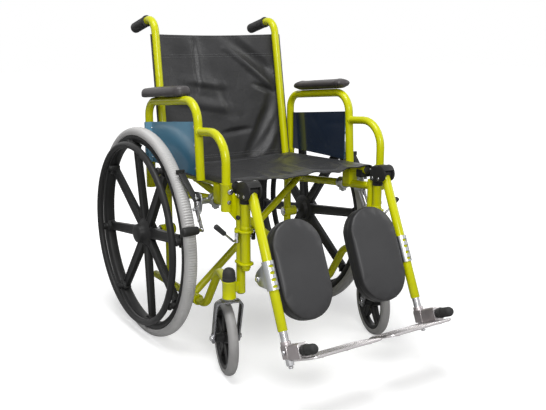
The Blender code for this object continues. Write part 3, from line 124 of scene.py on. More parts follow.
world = bpy.data.worlds.new("studio")
bpy.context.scene.world = world
world.use_nodes = True
world.node_tree.nodes.clear()
path = add_node(world.node_tree, "LightPath", {})
seen = path.outputs["Is Camera Ray"]
for ray in ("Is Glossy Ray", "Is Transmission Ray"):
    seen = add_node(world.node_tree, "Math", {0: seen, 1: path.outputs[ray]}, operation="MAXIMUM").outputs[0]
level = add_node(world.node_tree, "MapRange", {"Value": seen, "To Min": 0.15, "To Max": 1.0})
sky = add_node(world.node_tree, "Background", {"Color": (1, 1, 1, 1), "Strength": level.outputs[0]})
add_node(world.node_tree, "OutputWorld", {"Surface": sky.outputs[0]})

for name, place, size, power in (
    ("top_lamp", (-0.7, -0.6, 3.2), 1.6, 95),
    ("front_lamp", (-1.2, -3.1, 1.9), 1.0, 66),
    ("side_lamp", (2.6, -1.2, 1.9), 1.2, 18),
):
    lamp = bpy.data.objects.new(name, bpy.data.lights.new(name, "AREA"))
    lamp.data.energy = power
    lamp.data.size = size
    lamp.location = place
    lamp.rotation_euler = (Vector((0, 0, 0.4)) - Vector(place)).to_track_quat("-Z", "Y").to_euler()
    bpy.context.scene.collection.objects.link(lamp)
bpy.context.scene.view_settings.view_transform = "Standard"


# The side frames. Each is one weldment of bent steel tube, coated with lime powder and baked glossy.
# Tubes come off the bender with round elbows, and a bead of weld shows at each place where two meet.
FRAME_HALF = 0.212
ARM_HALF = 0.247
TUBE = 0.0115
POST_Y = -0.411
CASTER_Y = -0.417
CASTER_HALF = 0.250
HANGER_Y = -0.436
LOWER_RAIL_Z = 0.137
CANE_BEND_Z = 0.420
LEAN = radians(8.5)
SEAT_SLOPE = radians(2.4)
UP = (0, 0, 1)


def new_finish(name, roughness, metallic=0, gloss=0.5, coat=(0, 0.03)):
    """A new material with its plain values. coat is the weight and the roughness of a clear film on top."""
    finish = bpy.data.materials.new(name)
    finish.use_nodes = True
    for socket, value in (
        ("Roughness", roughness), ("Metallic", metallic), ("Specular IOR Level", gloss),
        ("Coat Weight", coat[0]), ("Coat Roughness", coat[1]),
    ):
        finish.node_tree.nodes["Principled BSDF"].inputs[socket].default_value = value
    return finish


def mottle(finish, tones, drift, grain=None, relief=None, haze=None, stretch=None):
    """Lets a finish drift between two tones in patches, and raises a fine relief in its skin.

    drift is the scale and detail of the patches, grain that of the relief where it has a pattern of its own,
    relief its strength and depth, and haze the roughness at both ends. stretch is the patches' scale by axis.
    """
    tree = finish.node_tree
    shader = tree.nodes["Principled BSDF"]
    place = add_node(tree, "TexCoord", {}).outputs["Object"]
    lie = add_node(tree, "Mapping", {"Vector": place, "Scale": stretch}).outputs[0] if stretch else place
    patches = add_node(tree, "TexNoise", {"Vector": lie, "Scale": drift[0], "Detail": drift[1]})
    mix = {0: patches.outputs[0], 6: linear(tones[0]), 7: linear(tones[1])}
    add_node(tree, "Mix", mix, shader.inputs["Base Color"], data_type="RGBA")
    if haze:
        span = {"Value": patches.outputs[0], "To Min": haze[0], "To Max": haze[1]}
        add_node(tree, "MapRange", span, shader.inputs["Roughness"])
    if grain:
        patches = add_node(tree, "TexNoise", {"Vector": place, "Scale": grain[0], "Detail": grain[1]})
    if relief:
        swell = {"Height": patches.outputs[0], "Strength": relief[0], "Distance": relief[1]}
        add_node(tree, "Bump", swell, shader.inputs["Normal"])


# Polyester powder coat, sprayed and baked: a thick glossy film that drifts a little in tone, with a faint
# orange peel of about 3 mm.
lime_coat = new_finish("lime_powder_coat_baked", 0.25, gloss=0.22, coat=(0.06, 0.10))
mottle(lime_coat, ("#aaad00", "#bfc000"), drift=(11, 3), grain=(330, 2), relief=(0.10, 0.0003))


def choose(*pieces):
    """Selects the pieces and nothing else, the first of them as the active one."""
    bpy.ops.object.select_all(action="DESELECT")
    for piece in pieces:
        piece.select_set(True)
    bpy.context.view_layer.objects.active = pieces[0]


def start_piece(add_primitive, **settings):
    """Adds a primitive, sets its place into its mesh and opens it, selected all over."""
    bpy.ops.object.select_all(action="DESELECT")
    add_primitive(**settings)
    bpy.ops.object.transform_apply(location=True, rotation=True, scale=True)
    bpy.ops.object.mode_set(mode="EDIT")
    bpy.ops.mesh.select_mode(type="VERT")
    bpy.ops.mesh.select_all(action="SELECT")
    return bpy.context.active_object


def close_mesh(piece, sharp=40):
    """Welds a piece's doubles, turns its faces outwards, leaves edit mode and smooths all but its edges."""
    bpy.ops.mesh.select_all(action="SELECT")
    bpy.ops.mesh.remove_doubles(threshold=0.000002)
    bpy.ops.mesh.normals_make_consistent(inside=False)
    bpy.ops.object.mode_set(mode="OBJECT")
    bpy.ops.object.shade_smooth_by_angle(angle=radians(sharp))
    return piece


def bent_tube(corners, bends=(), radius=TUBE, sides=20):
    """A tube drawn along its corner points, with an elbow of the given radius at each inner corner."""
    corners = [Vector(corner) for corner in corners]
    way = (corners[1] - corners[0]).normalized()
    piece = start_piece(
        bpy.ops.mesh.primitive_circle_add, vertices=sides, radius=radius, location=corners[0],
        rotation=way.to_track_quat("Z", "Y").to_euler(),
    )
    here = corners[0]
    for before, corner, after, bend in zip(corners, corners[1:], corners[2:], bends):
        back = (before - corner).normalized()
        ahead = (after - corner).normalized()
        half = back.angle(ahead) / 2
        elbow_start = corner + back * bend / tan(half)
        middle = corner + (back + ahead).normalized() * bend / sin(half)
        bpy.ops.mesh.extrude_region_move(TRANSFORM_OT_translate={"value": elbow_start - here})
        bpy.ops.mesh.spin(
            steps=8, dupli=False, angle=pi - 2 * half, center=middle, axis=back.cross(ahead).normalized()
        )
        here = corner + ahead * bend / tan(half)
    bpy.ops.mesh.extrude_region_move(TRANSFORM_OT_translate={"value": corners[-1] - here})
    bpy.ops.mesh.select_all(action="SELECT")
    bpy.ops.mesh.remove_doubles(threshold=0.000002)
    bpy.ops.mesh.fill_holes(sides=0)
    return close_mesh(piece)


def draw_line(points):
    """A line of points in a new piece, left in edit mode and selected all over."""
    points = [Vector(point) for point in points]
    piece = start_piece(bpy.ops.mesh.primitive_plane_add, size=0.001, location=points[0])
    bpy.ops.mesh.merge(type="CENTER")
    for point, following in zip(points, points[1:]):
        bpy.ops.mesh.extrude_vertices_move(TRANSFORM_OT_translate={"value": following - point})
    bpy.ops.mesh.select_all(action="SELECT")
    return piece


def turned(profile, centre, way, steps=32, ring=False, sharp=40):
    """A piece turned about a line. Its profile is (radius, distance along it), and a ring's is closed."""
    centre = Vector(centre)
    way = Vector(way).normalized()
    out = Vector(UP) if abs(way.z) < 0.7 else Vector((1, 0, 0))
    out = (out - way * out.dot(way)).normalized()
    points = [centre + out * radius + way * along for radius, along in profile]
    piece = draw_line(points + points[:1] if ring else points)
    bpy.ops.mesh.spin(steps=steps, dupli=False, angle=2 * pi, center=centre, axis=way)
    return close_mesh(piece, sharp)


def cut_plate(outline, thick, bevel=0.0006):
    """A plate cut to a flat outline, thickened by a vector, with its edges broken."""
    piece = draw_line([Vector(point) - Vector(thick) / 2 for point in outline])
    bpy.ops.mesh.edge_face_add()
    bpy.ops.mesh.select_all(action="SELECT")
    bpy.ops.mesh.extrude_region_move(TRANSFORM_OT_translate={"value": Vector(thick)})
    bpy.ops.mesh.select_all(action="SELECT")
    bpy.ops.mesh.normals_make_consistent(inside=False)
    if bevel:
        bpy.ops.mesh.select_all(action="DESELECT")
        bpy.ops.mesh.edges_select_sharp(sharpness=radians(50))
        bpy.ops.mesh.bevel(offset=bevel, segments=2, affect="EDGES")
    return close_mesh(piece)


def block(low, high, bevel=0.001):
    """A block between two corners with rounded edges."""
    low = Vector(low)
    high = Vector(high)
    piece = start_piece(
        bpy.ops.mesh.primitive_cube_add, size=1, location=(low + high) / 2, scale=high - low
    )
    bpy.ops.mesh.bevel(offset=bevel, segments=3, affect="EDGES")
    return close_mesh(piece)


def arc(centre, radius, start, end, steps):
    """Points of a flat arc about (across, up), with its angles in degrees."""
    angles = [radians(start + (end - start) * step / steps) for step in range(steps + 1)]
    return [(centre[0] + radius * cos(angle), centre[1] + radius * sin(angle)) for angle in angles]


def weld_bead(centre, way, radius):
    """The ring of weld round a tube that butts on another, with the ripples that the torch leaves."""
    ripples = 22
    bead = 0.0018
    section = [(radius + bead * cos(radians(a)), bead * sin(radians(a))) for a in range(0, 360, 60)]
    return turned(section, centre, way, 2 * ripples, ring=True, sharp=80)


def join(pieces):
    """Several pieces as one."""
    choose(*pieces)
    bpy.ops.object.join()
    return bpy.context.active_object


def open_copy(piece):
    """Opens the piece's own copy, selected all over."""
    choose(piece)
    bpy.ops.object.duplicate(linked=False)
    bpy.ops.object.mode_set(mode="EDIT")
    bpy.ops.mesh.select_all(action="SELECT")


def reflect(piece):
    """The piece's own copy, reflected in the chair's middle plane."""
    open_copy(piece)
    bpy.ops.transform.resize(value=(-1, 1, 1), center_override=(0, 0, 0))
    bpy.ops.mesh.flip_normals()
    bpy.ops.object.mode_set(mode="OBJECT")
    return bpy.context.active_object


def fit(piece, name, finish, body, slot, *nodes):
    """Names the piece, gives it its finish, sets it on its body and lets it stand for its solids."""
    piece.name = name
    piece.data.name = name
    piece.data.materials.clear()
    piece.data.materials.append(finish)
    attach(piece, body)
    if nodes:
        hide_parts(*nodes)
    return piece


def fit_pair(piece, name, finish, body, slot, *nodes):
    """The left-hand piece as modelled, and its reflection on the right."""
    twin = reflect(piece)
    for side, each in (("left_", piece), ("right_", twin)):
        fit(each, side + name, finish, side + body, slot, *[side + node for node in nodes])
    return piece, twin


def upper_rail_z(y):
    return CANE_BEND_Z + 0.038 * y / POST_Y


def seat_rail_z(y):
    return 0.4835 - y * tan(SEAT_SLOPE)


def cane_y(z):
    return max(0.0, z - CANE_BEND_Z) * tan(LEAN)


def cane_x(z):
    return FRAME_HALF - 0.007 * max(0.0, z - CANE_BEND_Z) / 0.495


cane_top = at(0.205, cane_y(0.915), 0.915)
handle_way = Vector((0, cos(radians(13)), -sin(radians(13))))
handle_end = cane_top + handle_way * 0.139
rail_tube = TUBE - 0.0004
tubes = [
    bent_tube(
        [at(FRAME_HALF, 0, LOWER_RAIL_Z), at(FRAME_HALF, 0, CANE_BEND_Z), cane_top, handle_end], (0.06, 0.04)
    ),
    bent_tube(
        [
            at(FRAME_HALF, 0.105, LOWER_RAIL_Z),
            at(FRAME_HALF, -0.222, LOWER_RAIL_Z),
            at(FRAME_HALF, -0.300, 0.257),
            at(CASTER_HALF - 0.003, CASTER_Y + 0.008, 0.257),
        ],
        (0.045, 0.045),
        rail_tube,
    ),
    bent_tube(
        [at(FRAME_HALF, 0, upper_rail_z(0)), at(FRAME_HALF, POST_Y, upper_rail_z(POST_Y))], (), rail_tube
    ),
    bent_tube([at(FRAME_HALF, POST_Y, 0.229), at(FRAME_HALF, POST_Y, 0.476)]),
    bent_tube([at(FRAME_HALF, 0.006, 0.465), at(ARM_HALF - 0.004, 0.033, 0.465)], (), 0.008, 14),
]
beads = [
    weld_bead(at(FRAME_HALF, -TUBE, upper_rail_z(0)), (0, 1, 0), TUBE - 0.001),
    weld_bead(at(FRAME_HALF, POST_Y + TUBE, upper_rail_z(POST_Y)), (0, 1, 0), TUBE - 0.001),
    weld_bead(at(FRAME_HALF, -0.0005, 0.1485), UP, TUBE),
    weld_bead(at(FRAME_HALF + TUBE, 0.014, 0.465), (1, 0.8, 0), 0.008),
]
# The fittings welded to the tubes: the swivel housing and its web, the two arm sockets, the seat saddles, the
# axle sleeve, and the two ring lugs that the legrest's hanger drops through.
housing = turned(
    [
        (0.0082, 0.268), (0.0165, 0.268), (0.0178, 0.2668), (0.0178, 0.2635), (0.0172, 0.2625),
        (0.0172, 0.2275), (0.0178, 0.2265), (0.0178, 0.2232), (0.0165, 0.222), (0.0082, 0.222),
    ],
    at(CASTER_HALF, CASTER_Y, 0), UP, 28, ring=True,
)
web = block(at(FRAME_HALF, POST_Y - 0.007, 0.234), at(CASTER_HALF, POST_Y + 0.001, 0.260), 0.002)
sockets = [
    turned(
        [
            (0.0118, bottom), (0.0138, bottom), (0.0138, top - 0.004), (0.0146, top - 0.003), (0.0146, top),
            (0.0118, top),
        ],
        at(ARM_HALF, y, 0), UP, 24, ring=True,
    )
    for y, bottom, top in ((-0.403, 0.443, 0.512), (0.037, 0.430, 0.503))
]
gusset = cut_plate(
    [
        at(FRAME_HALF, -0.407, 0.404), at(ARM_HALF, -0.407, 0.445),
        at(ARM_HALF, -0.407, 0.508), at(FRAME_HALF, -0.407, 0.470),
    ],
    (0, 0.006, 0), 0.0012,
)
saddles = [
    block(
        at(FRAME_HALF - 0.015, y - 0.016, upper_rail_z(y)),
        at(FRAME_HALF + 0.015, y + 0.016, seat_rail_z(y) - 0.002),
        0.002,
    )
    for y in (-0.315, -0.065)
]
sleeve = turned(
    [(0, -0.0165), (0.015, -0.0165), (0.016, -0.0155), (0.016, 0.027), (0.015, 0.028), (0, 0.028)],
    at(FRAME_HALF, 0, 0.305), (1, 0, 0), 24,
)
lugs = []
for height in (0.311, 0.394):
    outline = arc((FRAME_HALF, HANGER_Y), 0.0195, 180, 360, 14)
    outline += arc((FRAME_HALF, POST_Y), 0.0155, 0, 180, 10)
    lugs.append(cut_plate([at(x, y, height) for x, y in outline], (0, 0, 0.005), 0.0012))
    for face in (0.0028, -0.0028):
        beads.append(weld_bead(at(FRAME_HALF, POST_Y, height + face), UP, TUBE))
tab_line = arc((0.230, -0.424), 0.007, -100, 100, 10) + [(0.222, -0.417), (0.222, -0.431)]
tab = cut_plate([at(x, y, 0.394) for x, y in tab_line], (0, 0, 0.0044), 0.0008)
frame_weldment = join(tubes + beads + [housing, web, gusset, sleeve, tab] + sockets + saddles + lugs)
fit_pair(frame_weldment, "frame_weldment", lime_coat, "side", "lime_paint", "side_frame")


# The push grips: moulded rubber sleeves with close rings, pressed over the ends of the handles. The same
# rubber plugs the cut ends of the tubes.
# Moulded rubber: black gone to charcoal, with a matt skin and a fine pitted grain of about 1 mm.
rubber = new_finish("black_rubber_moulded", 0.62, gloss=0.20)
mottle(rubber, ("#252525", "#333333"), drift=(60, 4), grain=(900, 2), relief=(0.25, 0.0003))

GRIP_LENGTH = 0.095
rings = 11
pitch = 0.0072
profile = [
    (0, GRIP_LENGTH), (0.0105, GRIP_LENGTH), (0.0135, GRIP_LENGTH - 0.0012), (0.0150, GRIP_LENGTH - 0.0035),
]
for ring in range(rings):
    top = GRIP_LENGTH - 0.006 - ring * pitch
    profile += [(0.0155, top), (0.0155, top - 0.0042), (0.0143, top - 0.0048), (0.0143, top - 0.0066)]
profile += [(0.0158, 0.0075), (0.0165, 0.0065), (0.0165, 0.0008), (0.0157, 0), (0, 0)]
grip = turned(profile, handle_end - handle_way * (GRIP_LENGTH - 0.0043), handle_way, 28)
fit_pair(grip, "ringed_grip", rubber, "side", "black_rubber", "push_grip")


def tube_plug(end, way, brim=0.0112):
    """A moulded plug pressed into the end of a tube."""
    dome = [(0, 0.0035), (0.008, 0.0030), (0.0106, 0.0012), (brim, 0)]
    return turned(dome + [(0.0095, -0.001), (0.0095, -0.012), (0, -0.012)], end, way, 20)


plugs = [
    tube_plug(at(FRAME_HALF, 0.105, LOWER_RAIL_Z), (0, 1, 0)),
    tube_plug(at(FRAME_HALF, POST_Y, 0.229), (0, 0, -1)),
    tube_plug(at(FRAME_HALF, 0, 0.1255), (0, 0, -1)),
]
fit_pair(join(plugs), "tube_plugs", rubber, "side", "black_rubber")
# A moulded plug fills the hole through each front post, beside the legrest hanger.
post_plug = turned(
    [(0, 0.0034), (0.0040, 0.0030), (0.0056, 0.0016), (0.0060, 0.0002), (0.0060, -0.0030), (0, -0.0030)],
    at(FRAME_HALF + TUBE * 0.87, POST_Y - TUBE * 0.50, 0.4260), (0.87, -0.50, 0), 24,
)
fit_pair(post_plug, "post_hole_plug", rubber, "side", "black_rubber")


# The rear wheels: rim, eight tapering spokes and hub in one nylon moulding, with a rib sunk into each spoke
# and a stub by each for the hand rim.
# Glass-filled nylon, injection moulded: near black, satin, with a slight mottle and a fine sparked grain.
nylon = new_finish("black_nylon_moulded", 0.42, gloss=0.15)
mottle(nylon, ("#1f1f1f", "#2b2b2b"), drift=(28, 4), grain=(1100, 2), relief=(0.16, 0.0002))

WHEEL_HALF = 0.290
WHEEL_RADIUS = 0.305
ARMS = 8
FIRST_ARM = 37.5 - 90
STUB_OUT = 0.2600
axle = at(WHEEL_HALF, 0, WHEEL_RADIUS)
ACROSS = (1, 0, 0)


def both_sides(half):
    """A profile or section whose second half mirrors the first."""
    return half + [(out, -along) for out, along in reversed(half) if along]


def pick(piece, test, kind="FACE"):
    """Opens the piece in edit mode with the faces or points selected whose place and normal pass the test."""
    bpy.ops.object.mode_set(mode="OBJECT")
    choose(piece)
    bpy.ops.object.mode_set(mode="EDIT")
    bpy.ops.mesh.select_mode(type=kind)
    bpy.ops.mesh.select_all(action="DESELECT")
    bpy.ops.object.mode_set(mode="OBJECT")
    for part in piece.data.polygons if kind == "FACE" else piece.data.vertices:
        part.select = test(part.center if kind == "FACE" else part.co, part.normal)
    bpy.ops.object.mode_set(mode="EDIT")


def turn_copy(piece, centre, axis, angle):
    """The piece's own copy, turned about an axis through a point."""
    open_copy(piece)
    bpy.ops.transform.rotate(value=-angle, orient_axis=axis, center_override=centre)
    bpy.ops.object.mode_set(mode="OBJECT")
    return bpy.context.active_object


def turn_copies(piece, centre, count, first=0.0):
    """Copies of the piece, spread evenly about an axle. The piece itself goes."""
    copies = [turn_copy(piece, centre, "X", radians(first + 360 / count * turn)) for turn in range(count)]
    bpy.data.objects.remove(piece)
    return copies


def tapered_spoke(hub, inner, outer, root, tip, thick_root, thick_tip, sunk, set_back=0.0):
    """A spoke that stands straight up from the hub, narrower at the rim, with a panel sunk into each side."""
    middle = hub + Vector((0, 0, (inner + outer) / 2))
    piece = start_piece(
        bpy.ops.mesh.primitive_cube_add, size=1, location=middle, scale=(thick_root, root, outer - inner)
    )
    pick(piece, lambda point, normal: point.z > middle.z, "VERT")
    bpy.ops.transform.resize(value=(thick_tip / thick_root, tip / root, 1), center_override=middle)
    pick(piece, lambda point, normal: point.z < middle.z, "VERT")
    bpy.ops.transform.translate(value=(-set_back, 0, 0))
    pick(piece, lambda point, normal: abs(normal.x) > 0.9)
    bpy.ops.mesh.inset(thickness=0.0042, depth=0, use_individual=True)
    bpy.ops.mesh.inset(thickness=0.0016, depth=-sunk, use_individual=True)
    bpy.ops.mesh.select_all(action="DESELECT")
    bpy.ops.mesh.select_mode(type="EDGE")
    bpy.ops.mesh.edges_select_sharp(sharpness=radians(28))
    bpy.ops.mesh.bevel(offset=0.0012, segments=2, affect="EDGES")
    return close_mesh(piece)


rim = turned(
    both_sides([
        (0.2814, 0.0150), (0.2806, 0.0160), (0.2770, 0.0164), (0.2680, 0.0158), (0.2634, 0.0120),
        (0.2619, 0.0060), (0.2617, 0),
    ]),
    axle, ACROSS, 96, ring=True,
)
hub = turned(
    [
        (0, 0.0300), (0.0120, 0.0299), (0.0210, 0.0288), (0.0255, 0.0262), (0.0270, 0.0225), (0.0276, 0.0170),
        (0.0300, 0.0115), (0.0350, 0.0060), (0.0410, 0.0010), (0.0440, -0.0030), (0.0446, -0.0070),
        (0.0446, -0.0150), (0.0415, -0.0175), (0.0320, -0.0185), (0.0295, -0.0250), (0.0275, -0.0300),
        (0.0250, -0.0310), (0, -0.0310),
    ],
    axle, ACROSS, 48,
)
first_spoke = tapered_spoke(axle, 0.020, 0.268, 0.030, 0.0250, 0.0160, 0.0145, 0.0022, 0.0070)
foot = cut_plate(
    [axle + Vector((0.002, across, up)) for across, up in arc((0, 0.2665), 0.022, 215, 325, 10)],
    (0.024, 0, 0), 0.0012,
)
stub = turned(
    [
        (0, 0), (0.0125, 0), (0.0120, 0.0060), (0.0100, 0.0120), (0.0086, 0.0200), (0.0082, 0.0290),
        (0.0088, 0.0300), (0, 0.0300),
    ],
    axle + Vector((0, 0, STUB_OUT)), ACROSS, 20,
)
arms = turn_copies(join([first_spoke, foot, stub]), axle, ARMS, FIRST_ARM)
fit_pair(join([rim, hub] + arms), "spoked_wheel", nylon, "wheel", "black_plastic", "rear_wheel")


# The rear tyres: solid rings of grey polyurethane, stretched over the rims. They are cast in a mould whose
# cuts leave fine ribs straight across the tread.
# Cast polyurethane: pale grey, matt, a little darker where the tread has picked up dust.
tyre_grey = new_finish("grey_polyurethane_cast", 0.55)
mottle(tyre_grey, ("#9a9998", "#b0afae"), drift=(14, 5), grain=(700, 2), relief=(0.15, 0.0003))

RIBS = 270
section = both_sides([
    (0.2822, 0.0148), (0.2840, 0.0166), (0.2900, 0.0170), (0.2955, 0.0163), (0.2998, 0.0140),
    (0.3028, 0.0105), (0.3044, 0.0062), (0.3050, 0.0022),
])
tyre = turned(section, axle, ACROSS, 2 * RIBS, ring=True, sharp=60)


def in_groove(point, normal):
    out = Vector((0, point.y - axle.y, point.z - axle.z))
    step = round(atan2(out.y, out.z) / (pi / RIBS))
    return step % 2 == 0 and 0.2950 < out.length and abs(point.x - axle.x) > 0.0015


pick(tyre, in_groove, "VERT")
bpy.ops.transform.resize(value=(1, 0.9945, 0.9945), center_override=axle)
close_mesh(tyre, 30)
fit_pair(tyre, "ribbed_tyre", tyre_grey, "wheel", "grey_tyre", "rear_tyre")


# The hand rims: one nylon-coated hoop per wheel, screwed to the ends of the eight stubs.
hoop = turned(
    [(0.257 + 0.0095 * cos(radians(a)), 0.036 + 0.0095 * sin(radians(a))) for a in range(0, 360, 24)],
    axle, ACROSS, 112, ring=True, sharp=80,
)
collar = turned(
    [(0, -0.002), (0.0105, -0.002), (0.0110, 0.0005), (0.0098, 0.0045), (0, 0.0045)],
    axle + Vector((0.0245, 0, STUB_OUT)), ACROSS, 20,
)
collars = turn_copies(collar, axle, ARMS, FIRST_ARM)
fit_pair(join([hoop] + collars), "hand_rim", nylon, "wheel", "black_plastic", "handrim")


# The rear axles: a plated bolt through the sleeve, locked by a nut on each side of it, with a cap outside.
# Bright zinc and chrome plate, barrel finished: a clear mirror that is softened by fine polishing.
chrome = new_finish("bright_chrome_plated", 0.16, 1)
mottle(
    chrome, ("#a6a6a8", "#cfcfd1"), drift=(45, 4), grain=(420, 2), relief=(0.05, 0.0002), haze=(0.10, 0.24)
)


def hex_head(centre, way, reach, height):
    """A hexagon head or nut with its corners chamfered, on a washer."""
    head = turned(
        [(0, height), (reach * 0.86, height), (reach, height - reach * 0.10), (reach, 0.0008), (0, 0.0008)],
        centre, way, 6, sharp=20,
    )
    washer = turned(
        [(0, 0.0012), (reach * 1.22, 0.0012), (reach * 1.28, 0.0006), (reach * 1.28, 0), (0, 0)],
        centre, way, 24,
    )
    return join([head, washer])


bolt = turned([(0, 0), (0.006, 0), (0.006, 0.110), (0, 0.110)], at(0.192, 0, WHEEL_RADIUS), ACROSS, 18)
outer_nut = hex_head(at(0.2404, 0, WHEEL_RADIUS), ACROSS, 0.0105, 0.0140)
inner_nut = hex_head(at(0.1952, 0, WHEEL_RADIUS), (-1, 0, 0), 0.0100, 0.0035)
fit_pair(join([bolt, outer_nut, inner_nut]), "axle_bolt", chrome, "side", "chrome", "rear_axle")


# The casters: a plated steel fork pressed from strip, a moulded wheel with five spokes, a grey tyre and a
# bolt. They swivel in the housing under a domed cap, and stand turned a little, as the chair was last pushed.
SWIVEL_TURN = radians(-16.6)
TRAIL = 0.0445
CASTER_RADIUS = 0.100
FORK_TOP = 0.214
slope = TRAIL / (FORK_TOP - CASTER_RADIUS)
hub_at = Vector((0, TRAIL, CASTER_RADIUS))


def on_swivel(x, z):
    """A point of the fork's strip, which leans back towards the wheel's axle."""
    return Vector((x, slope * (FORK_TOP - z), z))


middle = 0.0330
centre_line = [(-middle, CASTER_RADIUS)] + arc((-middle + 0.014, FORK_TOP - 0.014), 0.014, 180, 90, 7)
centre_line += arc((middle - 0.014, FORK_TOP - 0.014), 0.014, 90, 0, 7) + [(middle, CASTER_RADIUS)]
outline = []
for step, (x, z) in enumerate(centre_line):
    before = Vector(centre_line[max(step - 1, 0)])
    after = Vector(centre_line[min(step + 1, len(centre_line) - 1)])
    run = (after - before).normalized()
    outline.append(((x - run.y * 0.0025, z + run.x * 0.0025), (x + run.y * 0.0025, z - run.x * 0.0025)))
strip = cut_plate(
    [on_swivel(*pair[0]) for pair in outline] + [on_swivel(*pair[1]) for pair in reversed(outline)],
    (0, 0.028, 0), 0.0008,
)
cheeks = [
    turned(
        [
            (0, 0.0002), (0.0125, 0.0002), (0.0138, -0.0006), (0.0138, -0.0052), (0.0128, -0.0058),
            (0, -0.0058),
        ],
        hub_at + Vector((side * 0.0365, 0, 0)), (side, 0, 0), 28,
    )
    for side in (-1, 1)
]
race = turned(
    [
        (0, -0.0035), (0.0130, -0.0030), (0.0150, 0.0005), (0.0150, 0.0035), (0.0135, 0.0050),
        (0.0135, 0.0076), (0, 0.0076),
    ],
    (0, 0, FORK_TOP), UP, 28,
)
stem = turned([(0, 0), (0.008, 0), (0.008, 0.045), (0, 0.045)], (0, 0, FORK_TOP), UP, 16)
fork = join([strip, race, stem] + cheeks)
fork_bolt = turned(both_sides([(0, -0.037), (0.004, -0.037)]), hub_at, ACROSS, 14)
fork_heads = [
    hex_head(hub_at + Vector((side * 0.0370, 0, 0)), (side, 0, 0), 0.0068, 0.0052) for side in (-1, 1)
]
fork_fixings = join([fork_bolt] + fork_heads)
caster_rim = turned(
    both_sides([(0.0820, 0.0100), (0.0812, 0.0110), (0.0760, 0.0110), (0.0712, 0.0080), (0.0702, 0.0030)]),
    hub_at, ACROSS, 64, ring=True,
)
caster_hub = turned(
    both_sides([
        (0, 0.0285), (0.0095, 0.0285), (0.0105, 0.0275), (0.0115, 0.0160), (0.0165, 0.0110), (0.0170, 0.0090),
    ]),
    hub_at, ACROSS, 32,
)
caster_spoke = tapered_spoke(hub_at, 0.008, 0.076, 0.030, 0.022, 0.0150, 0.0110, 0.0015)
caster_wheel = join([caster_rim, caster_hub] + turn_copies(caster_spoke, hub_at, 5))
section = both_sides([
    (0.0826, 0.0105), (0.0840, 0.0124), (0.0880, 0.0130), (0.0930, 0.0122), (0.0970, 0.0094),
    (0.0992, 0.0056), (0.1000, 0.0014),
])
caster_tyre = turned(section, hub_at, ACROSS, 96, ring=True, sharp=60)
# Steel strip, pressed and zinc plated: greyer than chrome, softly bright, with a faint lengthwise grain.
zinc = new_finish("zinc_plated_pressed_steel", 0.28, 1)
mottle(zinc, ("#737376", "#9c9c9f"), drift=(5, 4), haze=(0.20, 0.36), stretch=(90, 90, 12))
# Polyurethane, cast on the small wheels: a darker grey than the rear tyres, satin, cloudy with floor dust.
caster_grey = new_finish("dark_grey_polyurethane_cast", 0.46, gloss=0.30)
mottle(caster_grey, ("#7c7b7a", "#929190"), drift=(34, 4), haze=(0.38, 0.56))
for side, x in (("left_", CASTER_HALF), ("right_", -CASTER_HALF)):
    for original, name, finish, body, slot, node in (
        (fork, "strip_fork", zinc, "caster_swivel", "chrome", "caster_fork"),
        (fork_fixings, "fork_bolt", chrome, "caster_swivel", "chrome", "caster_axle"),
        (caster_wheel, "five_spoke_wheel", nylon, "caster", "black_plastic", "caster_wheel"),
        (caster_tyre, "caster_tyre_cast", caster_grey, "caster", "grey_tyre", "caster_tyre"),
    ):
        each = turn_copy(original, (0, 0, 0), "Z", SWIVEL_TURN)
        each.location = at(x, CASTER_Y, 0)
        bpy.ops.object.transform_apply(location=True, rotation=True, scale=True)
        fit(each, side + name, finish, side + body, slot, side + node)
for original in (fork, fork_fixings, caster_wheel, caster_tyre):
    bpy.data.objects.remove(original)
dome = turned(
    [
        (0, 0.3020), (0.0060, 0.3012), (0.0110, 0.2985), (0.0145, 0.2940), (0.0162, 0.2880), (0.0166, 0.2800),
        (0.0164, 0.2762), (0.0175, 0.2755), (0.0175, 0.2690), (0.0168, 0.2683), (0, 0.2683),
    ],
    at(CASTER_HALF, CASTER_Y, 0), UP, 36,
)
fit_pair(dome, "domed_cap", rubber, "side", "black_plastic", "caster_cap")


# The folding cross: two braces, each a painted tube welded to a seat rail above and to a sleeve that turns on
# the other side's lower rail. A bolt with a spacer joins them at the middle.
BRACE_Y = -0.150
RAIL_FRONT = -0.390
RAIL_REAR = -0.014
BRACE_TUBE = 0.0105


def brace_pieces(shift):
    """The brace that climbs from the right lower rail to the left seat rail."""
    foot = at(-FRAME_HALF, BRACE_Y + shift, LOWER_RAIL_Z)
    head = at(FRAME_HALF, BRACE_Y + shift, seat_rail_z(BRACE_Y + shift))
    way = (head - foot).normalized()
    bar = bent_tube([foot + way * 0.0125, head], (), BRACE_TUBE)
    rail = bent_tube([at(FRAME_HALF, y, seat_rail_z(y)) for y in (RAIL_FRONT, RAIL_REAR)])
    sleeve = turned(
        both_sides([(0.0122, -0.030), (0.0148, -0.030), (0.0155, -0.0292)]),
        at(-FRAME_HALF, BRACE_Y, LOWER_RAIL_Z), (0, 1, 0), 28, ring=True,
    )
    beads = [weld_bead(foot + way * 0.0150, way, BRACE_TUBE), weld_bead(head - way * 0.0118, way, BRACE_TUBE)]
    return join([bar, rail, sleeve] + beads)


